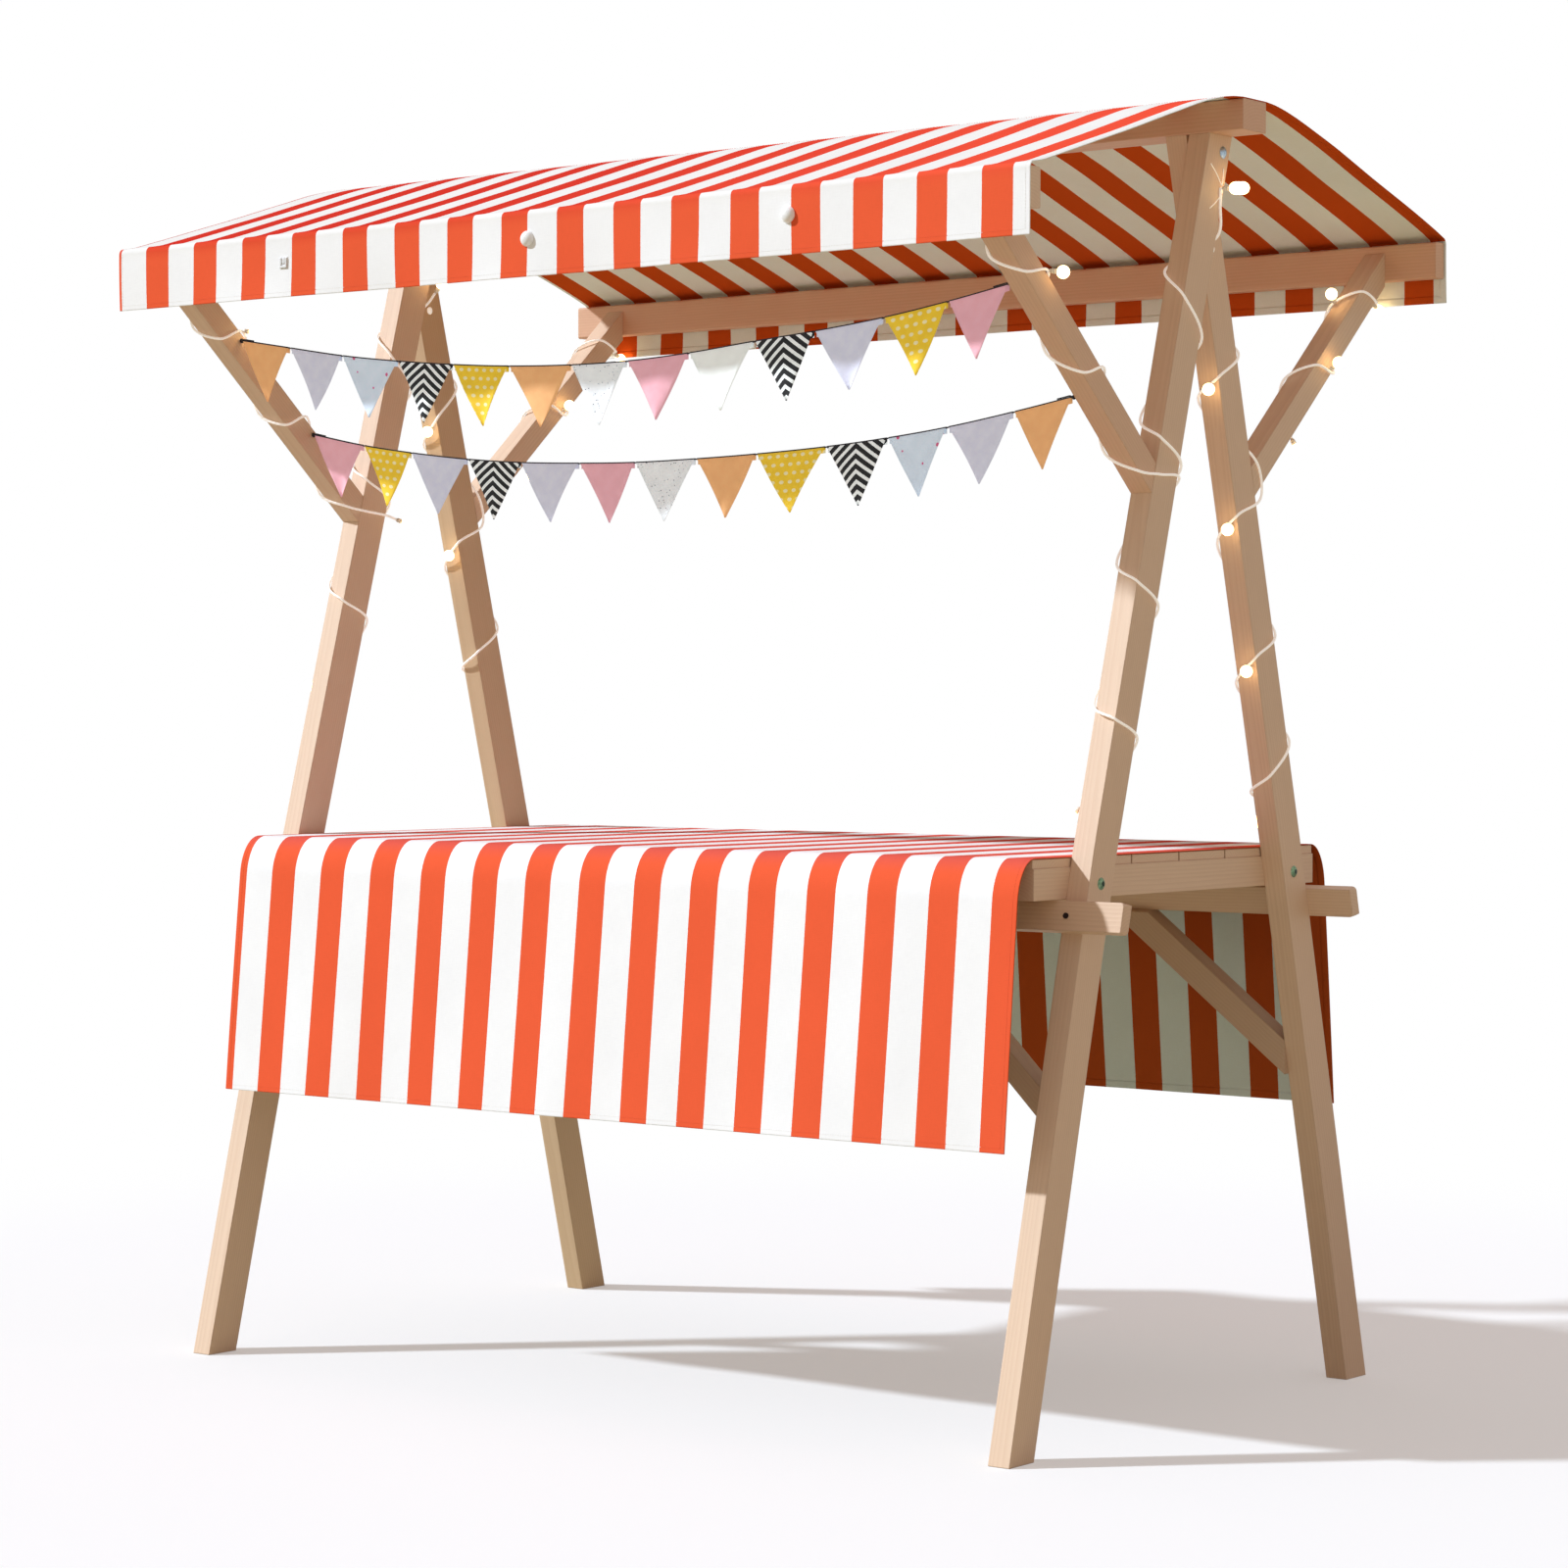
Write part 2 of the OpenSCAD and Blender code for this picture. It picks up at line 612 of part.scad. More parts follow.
module leg_bolts() {
    // The head clears the drifting face of the leg over its whole width
    tilt = head_d / 2 * front_drift / (leg_top - drift_start);
    color(steel) for (side = [left, right])
        bolt(leg_x(side) + drift(rear, cross_bolt_z) - tilt,
            leg_x(side) + leg_t + drift(front, cross_bolt_z) + tilt,
            cross_bolt_y, cross_bolt_z);
}

module table_bolts() {
    color(steel) for (run = [front, rear]) {
        y = run * leg_mid(apron_bolt_z);
        bolt(leg_in - apron_t, frame_half, y, apron_bolt_z);
        bolt(-frame_half, -leg_in + apron_t, y, apron_bolt_z);
    }
}

// Screws through the rails into the legs, on the rails' outer faces
module rail_screws() {
    z = rail_z + rail_w * cos(leg_lean) / 2;
    lie = rail_t + head_gap;
    head_t = 2;
    color([0.35, 0.2, 0.15]) for (run = [front, rear])
        for (x = [-frame_half + leg_t / 2, frame_half - leg_t / 2])
            translate([x, run * (leg_out(z) + lie * cos(leg_lean)), z + lie * sin(leg_lean)])
                rotate([run * (leg_lean - 90), 0, 0]) cylinder(h = head_t, d = screw_d);
}

leg(right, front);  // leg_front_right
leg(right, rear);  // leg_rear_right
leg(left, front);  // leg_front_left
leg(left, rear);  // leg_rear_left
ridge_beam();
eave_beam(front);  // front_eave_beam
eave_beam(rear);  // rear_eave_beam
strut(right, front);  // strut_front_right
strut(right, rear);  // strut_rear_right
strut(left, front);  // strut_front_left
strut(left, rear);  // strut_rear_left
end_apron(right);  // end_apron_right
end_apron(left);  // end_apron_left
long_apron(front);  // front_apron
long_apron(rear);  // rear_apron
table_battens();
table_boards();
rail(front);  // front_rail
rail(rear);  // rear_rail
knee_brace(right, front);  // knee_brace_front_right
knee_brace(right, rear);  // knee_brace_rear_right
knee_brace(left, front);  // knee_brace_front_left
knee_brace(left, rear);  // knee_brace_rear_left
canopy();
tablecloth();
valance_buttons();
bunting_ties();
string(upper_string);  // bunting_string_upper
string(lower_string);  // bunting_string_lower
flags(upper_string);  // bunting_flags_upper
flags(lower_string);  // bunting_flags_lower
light_cord(right);  // light_cord_right
light_cord(left);  // light_cord_left
light_bulbs(right);  // light_bulbs_right
light_bulbs(left);  // light_bulbs_left
leg_bolts();
table_bolts();
rail_screws();
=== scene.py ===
"""Looks of the wooden market stall: planed timber, striped canvas, bunting and bulb lights."""

import math
from bisect import bisect_right

import bpy
from mathutils import Matrix, Vector, noise


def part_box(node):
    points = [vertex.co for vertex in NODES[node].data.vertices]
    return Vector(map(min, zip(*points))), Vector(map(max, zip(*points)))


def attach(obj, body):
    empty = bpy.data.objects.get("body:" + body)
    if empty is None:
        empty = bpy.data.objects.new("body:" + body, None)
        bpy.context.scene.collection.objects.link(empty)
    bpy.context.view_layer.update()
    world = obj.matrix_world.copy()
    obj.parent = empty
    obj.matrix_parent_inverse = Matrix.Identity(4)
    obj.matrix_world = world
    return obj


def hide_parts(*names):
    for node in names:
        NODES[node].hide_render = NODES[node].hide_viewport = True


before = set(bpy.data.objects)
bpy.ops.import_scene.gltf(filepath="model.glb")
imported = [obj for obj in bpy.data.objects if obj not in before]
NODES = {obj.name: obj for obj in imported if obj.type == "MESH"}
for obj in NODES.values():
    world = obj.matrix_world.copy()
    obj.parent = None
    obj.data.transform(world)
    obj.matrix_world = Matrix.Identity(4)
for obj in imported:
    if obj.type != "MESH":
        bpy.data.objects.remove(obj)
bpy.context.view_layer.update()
MM = 0.001

# Sizes that the part's source also has, in millimetres
FRONT, REAR, LEFT, RIGHT = -1, 1, -1, 1
FRAME_HALF, FOOT_HALF, LEG_TOP, LEG_T, LEG_W = 855, 528, 2014, 38, 63
DRIFT_START, FRONT_DRIFT, LAP_GAP = 900, 32.5, 0.4
LEAN = math.atan2(FOOT_HALF, LEG_TOP) - math.asin(LEG_W / 2 / math.hypot(FOOT_HALF, LEG_TOP))
LEG_HALF = LEG_W / 2 / math.cos(LEAN)
CROTCH = LEG_TOP - LEG_HALF / math.tan(LEAN)
REAR_DRIFT = (LEG_T + LAP_GAP) * (LEG_TOP - DRIFT_START) / (CROTCH - DRIFT_START) - FRONT_DRIFT
STRUT_ANGLE, BRACE_ANGLES = math.radians(41.4), {FRONT: 44, REAR: 37.3}
STRUT_T, STRUT_W, STRUT_Z = 38, 42, {FRONT: 1449, REAR: 1459}
CORD_D, STRING_D, HEAD_GAP, CORD_GAP = 3.5, 2.5, 0.2, 0.7
CORD_OFF = CORD_D / 2 + CORD_GAP
CANOPY_X, CANOPY_EDGE, CANOPY_TOP, VALANCE_LOW = (-939, 948), 618.3, 2064.3, 1799
CLOTH_X, CLOTH_TOP, CLOTH_LOW = (-815.5, 815.5), 894.3, (489, 459)
FLAG_H, FLAG_GAP, SHEET_T, BEAM_TOP = 98, 2.5, 2, 1897
BUTTON_Z, BUTTON_X = 1857, (-7, 512)

# The light cords look thicker than they are, because their glow spreads
SEEN_CORD_D = 4.4

# Stripes: where along X an orange band starts, how wide it is, and from one to the next
FRONT_STRIPES, TABLE_STRIPES = (-872.7, 54.8, 115.8), (-854, 55, 116)
REAR_STRIPES, REAR_SKIRT_STRIPES = (-816.5, 54.8, 115.8), (-751, 54.8, 115.8)


def leg_mid(z):
    return (LEG_TOP - z) * math.tan(LEAN)


def leg_out(z):
    return leg_mid(z) + LEG_HALF


def drift(run, z):
    top = FRONT_DRIFT if run == FRONT else -REAR_DRIFT
    return top * max(0, z - DRIFT_START) / (LEG_TOP - DRIFT_START)


def leg_x(side):
    return FRAME_HALF - LEG_T if side == RIGHT else -FRAME_HALF


def placed(name, data):
    """A new object in the scene."""
    thing = bpy.data.objects.new(name, data)
    bpy.context.scene.collection.objects.link(thing)
    return thing


# Camera
def set_camera():
    """The photograph's own viewpoint. Lengths in the picture are in its pixels."""
    picture, focal, shift, sensor = 1600, 4102.05, -8.912, 36
    yaw, pitch, roll = (math.radians(a) for a in (37.6816, -1.042, 0.0779))
    look = Vector((-math.sin(yaw) * math.cos(pitch), math.cos(yaw) * math.cos(pitch),
                   math.sin(pitch)))
    level = Vector((math.cos(yaw), math.sin(yaw), 0))
    up = level.cross(look)
    right = level * math.cos(roll) + up * math.sin(roll)
    above = up * math.cos(roll) - level * math.sin(roll)
    camera = placed("camera", bpy.data.cameras.new("camera"))
    camera.data.sensor_width, camera.data.clip_end = sensor, 100
    camera.data.lens, camera.data.shift_y = focal / picture * sensor, shift / picture
    place = Matrix((right, above, -look)).transposed().to_4x4()
    place.translation = (4.1947, -5.3957, 1.1275)
    camera.matrix_world = place
    bpy.context.scene.camera = camera


set_camera()


# Nodes
def add_node(tree, kind, settings=None, sockets=None):
    """One node of any kind: its settings first, then the values or links of its sockets."""
    node = tree.nodes.new(kind)
    for key, value in (settings or {}).items():
        setattr(node, key, value)
    for key, value in (sockets or {}).items():
        value = getattr(value, "socket", value)
        if isinstance(value, bpy.types.NodeSocket):
            tree.links.new(value, node.inputs[key])
        else:
            node.inputs[key].default_value = value
    return node


class Amount:
    """A number that changes over a surface, for sums written as Python."""

    def __init__(self, tree, socket):
        self.tree, self.socket = tree, socket

    def do(self, operation, *values):
        node = add_node(self.tree, "ShaderNodeMath", {"operation": operation},
                        dict(enumerate(values)))
        return Amount(self.tree, node.outputs[0])

    def __add__(self, other):
        return self.do("ADD", self, other)

    def __sub__(self, other):
        return self.do("SUBTRACT", self, other)

    def __rsub__(self, other):
        return self.do("SUBTRACT", other, self)

    def __mul__(self, other):
        return self.do("MULTIPLY", self, other)

    def __truediv__(self, other):
        return self.do("DIVIDE", self, other)

    def __pow__(self, other):
        return self.do("POWER", self, other)

    def __lt__(self, other):
        return self.do("LESS_THAN", self, other)

    def __abs__(self):
        return self.do("ABSOLUTE", self)

    __radd__, __rmul__ = __add__, __mul__

    def share(self):
        """What is left over the last whole number."""
        return self.do("FRACT", self)

    def whole(self):
        return self.do("FLOOR", self)

    def wave(self):
        return self.do("SINE", self)

    def most(self, other):
        return self.do("MAXIMUM", self, other)

    def span(self, other):
        """How far away a point is that is this far one way and the other the other way."""
        return (self * self + other * other) ** 0.5

    def ease(self, low, high, to_low=0.0, to_high=1.0):
        """Smoothly from to_low, where this is low, to to_high, where it is high."""
        node = add_node(self.tree, "ShaderNodeMapRange", {"interpolation_type": "SMOOTHSTEP"},
                        {"Value": self, "From Min": low, "From Max": high,
                         "To Min": to_low, "To Max": to_high})
        return Amount(self.tree, node.outputs["Result"])


class Finish:
    """A material in the making."""

    def __init__(self, name):
        self.material = bpy.data.materials.new(name)
        self.material.use_nodes = True
        self.tree = self.material.node_tree
        self.tree.nodes.clear()

    def node(self, kind, settings=None, sockets=None):
        return add_node(self.tree, kind, settings, sockets)

    def where(self):
        """The place in metres, as a vector."""
        return self.node("ShaderNodeTexCoord").outputs["Object"]

    def parts(self, vector):
        """A vector's three amounts."""
        node = self.node("ShaderNodeSeparateXYZ", sockets={0: vector})
        return [Amount(self.tree, part) for part in node.outputs]

    def on_cloth(self):
        """Metres across and metres along, from the piece's own UV map, and both as one vector."""
        place = self.node("ShaderNodeUVMap", {"uv_map": "cloth"}).outputs[0]
        across, along, _ = self.parts(place)
        return across, along, place

    def scaled(self, vector, scale):
        node = self.node("ShaderNodeVectorMath", {"operation": "MULTIPLY"}, {0: vector, 1: scale})
        return node.outputs[0]

    def cloudy(self, vector, scale, detail=2.0, roughness=0.5):
        """Soft noise from about 0 to 1. A scale of three numbers stretches it into streaks."""
        if isinstance(scale, tuple):
            vector, scale = self.scaled(vector, scale), 1.0
        node = self.node("ShaderNodeTexNoise", sockets={"Vector": vector, "Scale": scale,
                                                        "Detail": detail, "Roughness": roughness})
        return Amount(self.tree, node.outputs[0])

    def blend(self, factor, a, b):
        """Colour a where the factor is 0, b where it is 1."""
        node = self.node("ShaderNodeMix", {"data_type": "RGBA"}, {
            0: factor, 6: (*a, 1) if isinstance(a, tuple) else a,
            7: (*b, 1) if isinstance(b, tuple) else b})
        return node.outputs[2]

    def shade(self, colour, amount):
        """The colour times an amount that is near 1."""
        node = self.node("ShaderNodeVectorMath", {"operation": "SCALE"},
                         {0: colour, "Scale": amount})
        return node.outputs[0]

    def done(self, colour, roughness, height, strength, arris=0.0, **fixed):
        """Ends the material in one shader. The height is in metres, and arris eases the edges."""
        bump = {"Height": height, "Distance": 1.0, "Strength": strength}
        if arris:
            bump["Normal"] = self.node("ShaderNodeBevel", {"samples": 6},
                                       {"Radius": arris}).outputs[0]
        shader = self.node("ShaderNodeBsdfPrincipled", sockets={
            "Base Color": (*colour, 1) if isinstance(colour, tuple) else colour,
            "Roughness": roughness, "Normal": self.node("ShaderNodeBump", sockets=bump).outputs[0],
            **{key.replace("_", " "): value for key, value in fixed.items()}})
        self.node("ShaderNodeOutputMaterial", sockets={"Surface": shader.outputs[0]})
        return self.material


# Meshes
def make_piece(name, points, faces, finishes, uvs=None, picks=None, smooth=True):
    """A mesh piece. uvs holds one place for each corner of each face, picks one finish for each."""
    mesh = bpy.data.meshes.new(name)
    mesh.from_pydata([tuple(p) for p in points], [], faces)
    for finish in finishes:
        mesh.materials.append(finish)
    if uvs:
        layer = mesh.uv_layers.new(name="cloth")
        layer.data.foreach_set("uv", [c for face in uvs for corner in face for c in corner])
    if picks:
        mesh.polygons.foreach_set("material_index", picks)
    mesh.polygons.foreach_set("use_smooth", [smooth] * len(faces))
    mesh.update()
    return placed(name, mesh)


def settle(piece, slot, *nodes):
    """The piece rides on the stall and stands for its CAD nodes, which it hides. Its slot is not
    used.
    """
    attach(piece, "root")
    if nodes:
        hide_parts(*nodes)


def thicken(piece, thick, inside=0):
    """Gives a sheet its thickness. inside is how far on in its finishes its inner side's is."""
    made = piece.modifiers.new("cloth", "SOLIDIFY")
    made.thickness, made.offset, made.material_offset = thick, 0, inside
    return piece


def eased(a, b, start, end, long, t):
    """From a to b, a share t of the way, with these slopes at its ends."""
    return (a * (2 * t**3 - 3 * t**2 + 1) + b * (3 * t**2 - 2 * t**3)
            + (start * (t**3 - 2 * t**2 + t) + end * (t**3 - t**2)) * long)


def through(points, step):
    """A smooth curve through the points, as points about a step apart."""
    points = [Vector(p) for p in points]
    ends = [2 * points[0] - points[1], *points, 2 * points[-1] - points[-2]]
    line = [points[0]]
    for a, b, c, d in zip(ends, ends[1:], ends[2:], ends[3:]):
        ta, tb, tc = ((q - p).length ** 0.5 for p, q in ((a, b), (b, c), (c, d)))
        start = (b - a) / ta - (c - a) / (ta + tb) + (c - b) / tb
        end = (c - b) / tb - (d - b) / (tb + tc) + (d - c) / tc
        count = max(2, round((c - b).length / step))
        line += [eased(b, c, start, end, tb, i / count) for i in range(1, count + 1)]
    return line


# How far a round cord's end stands out, as a share of its diameter
ROUND_OFF = 0.2


def tubes(name, lines, diameter, finish, sides=8):
    """Round cords along lines of points. Their UV map has the way round and the metres along."""
    points, faces, uvs = [], [], []
    for line in lines:
        first, along = len(points), 0.0
        ahead = (line[1] - line[0]).normalized()
        out = ahead.orthogonal().normalized()
        for i, p in enumerate(line):
            ahead = (line[min(i + 1, len(line) - 1)] - line[max(i - 1, 0)]).normalized()
            out = (out - ahead * out.dot(ahead)).normalized()
            beside = ahead.cross(out)
            for k in range(sides):
                turn = 2 * math.pi * k / sides
                points.append(p + (out * math.cos(turn) + beside * math.sin(turn)) * diameter / 2)
            if i:
                step = (p - line[i - 1]).length
                for k in range(sides):
                    a, b = first + (i - 1) * sides + k, first + (i - 1) * sides + (k + 1) % sides
                    faces.append((a, b, b + sides, a + sides))
                    uvs.append([(k / sides, along), ((k + 1) / sides, along),
                                ((k + 1) / sides, along + step), (k / sides, along + step)])
                along += step
        for ring, tip, inner, order in ((first, line[0], line[1], -1),
                                        (len(points) - sides, line[-1], line[-2], 1)):
            points.append(tip + (tip - inner).normalized() * diameter * ROUND_OFF)
            for k in range(sides):
                faces.append((*(ring + k, ring + (k + 1) % sides)[::order], len(points) - 1))
                uvs.append([(0, along)] * 3)
    return make_piece(name, points, faces, [finish], uvs)


def turned(name, profile, sides):
    """A turned shape round Z. The profile is (radius, height) in millimetres, from its foot up."""
    points, faces, rings = [], [], []
    for r, z in profile:
        if r == 0:
            rings.append([len(points)] * sides)
            points.append((0, 0, z * MM))
        else:
            rings.append(list(range(len(points), len(points) + sides)))
            points += [(r * MM * math.cos(2 * math.pi * k / sides),
                        r * MM * math.sin(2 * math.pi * k / sides), z * MM) for k in range(sides)]
    for low, high in zip(rings, rings[1:]):
        for k in range(sides):
            m = (k + 1) % sides
            loop = dict.fromkeys((low[k], low[m], high[m], high[k]))
            if len(loop) > 2:
                faces.append(tuple(loop))
    return make_piece(name, points, faces, [])


def copies_tree():
    """A node tree that sets one small shape on every point, standing along the point's own way."""
    tree = bpy.data.node_groups.new("copies_on_points", "GeometryNodeTree")
    face = tree.interface
    for name, kind in (("Points", "Geometry"), ("Shape", "Object"), ("Size", "Float"),
                       ("Size spread", "Float"), ("Seed", "Int"), ("Finish", "Material")):
        face.new_socket(name, in_out="INPUT", socket_type="NodeSocket" + kind)
    face.new_socket("Copies", in_out="OUTPUT", socket_type="NodeSocketGeometry")
    given = add_node(tree, "NodeGroupInput").outputs

    def read(name):
        return add_node(tree, "GeometryNodeInputNamedAttribute", {"data_type": "FLOAT_VECTOR"},
                        {"Name": name}).outputs["Attribute"]

    stand = add_node(tree, "FunctionNodeAlignRotationToVector", {"axis": "Z"},
                     {"Vector": read("way")})
    turn = add_node(tree, "FunctionNodeAlignRotationToVector", {"axis": "X", "pivot_axis": "Z"},
                    {"Rotation": stand.outputs[0], "Vector": read("along")})
    shape = add_node(tree, "GeometryNodeObjectInfo", sockets={"Object": given["Shape"]})
    size, spread = (Amount(tree, given[key]) for key in ("Size", "Size spread"))
    scale = add_node(tree, "FunctionNodeRandomValue", {"data_type": "FLOAT"},
                     {2: size * (1 - spread), 3: size * (1 + spread), "Seed": given["Seed"]})
    copied = add_node(tree, "GeometryNodeInstanceOnPoints", sockets={
        "Points": given["Points"], "Instance": shape.outputs["Geometry"],
        "Rotation": turn.outputs[0], "Scale": scale.outputs[1]})
    real = add_node(tree, "GeometryNodeRealizeInstances", sockets={0: copied.outputs[0]})
    done = add_node(tree, "GeometryNodeSetMaterial", sockets={
        "Geometry": real.outputs[0], "Material": given["Finish"]})
    add_node(tree, "NodeGroupOutput", sockets={0: done.outputs[0]})
    return tree


COPIES = copies_tree()


def copies(name, spots, profile, sides, finish, spread=0.0, seed=1):
    """One mesh of a turned shape's copies. A spot is a point, the way it stands, the way along."""
    shape = turned(name + "_shape", profile, sides)
    mesh = bpy.data.meshes.new(name + "_spots")
    mesh.from_pydata([tuple(s[0]) for s in spots], [], [])
    for i, key in ((1, "way"), (2, "along")):
        values = mesh.attributes.new(key, "FLOAT_VECTOR", "POINT")
        values.data.foreach_set("vector", [c for s in spots for c in s[i]])
    holder = placed(name + "_spots", mesh)
    modifier = holder.modifiers.new("copies", "NODES")
    modifier.node_group = COPIES
    inputs = {s.name: s.identifier for s in COPIES.interface.items_tree if s.in_out == "INPUT"}
    for key, value in (("Shape", shape), ("Size", 1.0), ("Size spread", spread), ("Seed", seed),
                       ("Finish", finish)):
        modifier[inputs[key]] = value
    made = bpy.data.meshes.new_from_object(
        holder.evaluated_get(bpy.context.evaluated_depsgraph_get()))
    for used in (holder, shape):
        bpy.data.objects.remove(used)
    made.name = name
    made.materials.clear()
    made.materials.append(finish)
    made.polygons.foreach_set("material_index", [0] * len(made.polygons))
    return placed(name, made)


# Finishes
def cord_finish(name, colour, twists, roughness, depth, dark=0.82, glow=0.0):
    """A twisted cord: slanting strands from its own UV map, painted this dark between them as shade
    in the twist. glow is the strength of a painted glow that brightens the cord as if lit.
    """
    f = Finish(name)
    round_it, along, place = f.on_cloth()
    strand = ((round_it * 2 + along * twists) * (2 * math.pi)).wave()
    speck = f.cloudy(place, (6.0, 900.0, 1.0))
    lit = f.shade(colour, strand.ease(-1, 1, dark, 1.04) * speck.ease(0.3, 0.7, 0.95, 1.04))
    # Painted light: the emission brightens the cord, which is no lamp
    return f.done(lit, roughness, strand * depth, 1.0, Emission_Color=(1.0, 0.93, 0.85, 1.0),
                  Emission_Strength=glow)


# Softwood: what grows early in a year, what grows late, and broad patches over both
WOODS = (0.775, 0.575, 0.418), (0.650, 0.445, 0.300), (0.745, 0.535, 0.385)
YEAR, WOOD_ARRIS = 0.0052, 0.0022


def pine_finish(name, along, centre, seed, boards, tone):
    """Planed softwood, its rings running along one timber.

    boards is the pitch of side-by-side boards, or 0, and tone multiplies the colour."""
    f = Finish(name)
    along = Vector(along).normalized()
    steep = abs(along.z) >= 0.7
    side = Vector((0, 1, 0) if steep else (0, 0, 1)).cross(along).normalized()
    turn = Matrix((along, side, along.cross(side)))
    shift = Vector((seed * 0.731 % 3, 0, 0)) - turn @ Vector(centre)
    place = f.node("ShaderNodeMapping", sockets={
        "Vector": f.where(), "Location": shift, "Rotation": turn.to_euler()}).outputs[0]
    long, wide, deep = f.parts(place)
    if boards:
        board = (wide / boards + 0.5).whole()
        long = long + board * 0.77
        wide = wide - board * (boards * 0.82)
    # The heart of the tree is outside the timber and wanders along it
    heart = (0.018 * math.sin(seed * 2.1), -0.052 - 0.016 * math.sin(seed * 1.3))
    bent = f.node("ShaderNodeCombineXYZ", sockets={0: long, 1: wide, 2: deep}).outputs[0]
    wander = f.cloudy(bent, (1.1, 3.0, 3.0), 1.0) - 0.5
    ripple = f.cloudy(bent, (9.0, 60.0, 60.0)) - 0.5
    y = wide - heart[0] + wander * 0.036
    z = deep - heart[1] + wander * 0.022 + ripple * 0.0026
    rings = (y.span(z) / YEAR).share()
    late = rings.ease(0.25, 0.92) * (1 - rings.ease(0.93, 1.0))
    fibre = f.cloudy(bent, (14.0, 900.0, 900.0), 3.0, 0.65)
    broad = f.cloudy(bent, (2.2, 14.0, 14.0))
    pale, dark, patch = (tuple(Vector(wood) * Vector(tone)) for wood in WOODS)
    colour = f.blend(late * fibre.ease(0.2, 0.75, 0.22, 0.44), pale, dark)
    colour = f.blend(broad.ease(0.35, 0.75, 0.0, 0.35), colour, patch)
    colour = f.shade(colour, fibre.ease(0.2, 0.8, 0.955, 1.03))
    return f.done(colour, fibre.ease(0.2, 0.8, 0.62, 0.5), late * 0.00009 + fibre * 0.00008, 0.7,
                  WOOD_ARRIS)


def weave(across, along, pitch):
    """The ups and downs of woven threads."""
    thread = 2 * math.pi / pitch
    return (across * thread).wave() * (along * thread).wave()


def canvas_finish(name, stripes, white, orange, top=None):
    """Striped canvas. Its UV map has the metres across from the start of an orange band.

    top holds how far along the top reaches, its own white, and its orange at each end. These top
    colours are painted darker than the sides' as shade."""
    f = Finish(name)
    across, along, place = f.on_cloth()
    if top:
        reach, shaded_top_white, left_orange, right_orange = top
        # Painted shade: the top's colours are darker, and across the canopy the orange is deepest
        # at its left end
        on_top = abs(along).ease(reach - 0.02, reach + 0.02, 1.0, 0.0)
        shaded_top_orange = f.blend(across.ease(0.4, 1.9), left_orange, right_orange)
        white, orange = f.blend(on_top, white, shaded_top_white), f.blend(on_top, orange, shaded_top_orange)
    bleed = f.cloudy(place, 260.0) - 0.5
    band = ((across + bleed * 0.0007) / (stripes[2] * MM)).share()
    slub = f.cloudy(place, (60.0, 1400.0, 1.0)) + f.cloudy(place, (1400.0, 60.0, 1.0))
    worn = f.cloudy(place, 7.0, 3.0)
    colour = f.blend(band < stripes[1] / stripes[2], white, orange)
    colour = f.shade(colour, slub.ease(0.6, 1.4, 0.965, 1.02) * worn.ease(0.3, 0.7, 0.98, 1.01))
    height = (weave(across, along, 0.0011) * 0.00004 + slub * 0.00006
              + f.cloudy(place, 26.0, 3.0) * 0.0005)
    return f.done(colour, worn.ease(0.3, 0.7, 0.92, 0.84), height, 0.6, Specular_IOR_Level=0.0)


FLAG_COLOURS = {"orange": (0.930, 0.470, 0.200), "pink": (0.880, 0.440, 0.500),
                "lavender": (0.720, 0.700, 0.820), "cream": (0.930, 0.920, 0.880),
                "yellow": (0.930, 0.600, 0.040), "sky": (0.730, 0.800, 0.910),
                "speckled": (0.900, 0.890, 0.900), "zigzag": (0.950, 0.950, 0.940)}
# Specks: how many to a metre, how much flatter than round, how wide, and their colour
FLAG_SPECKS = {"sky": (48.0, 1.0, 0.17, (0.690, 0.130, 0.260)),
               "speckled": (150.0, 1.3, 0.20, (0.260, 0.250, 0.270))}
# Yellow cloth: the pitch of its dots across and down, and their size, in millimetres
DOT_PITCH, DOT_SIZE = (17, 14), (9, 6)
DARK_FOLD_REACH = 0.0006


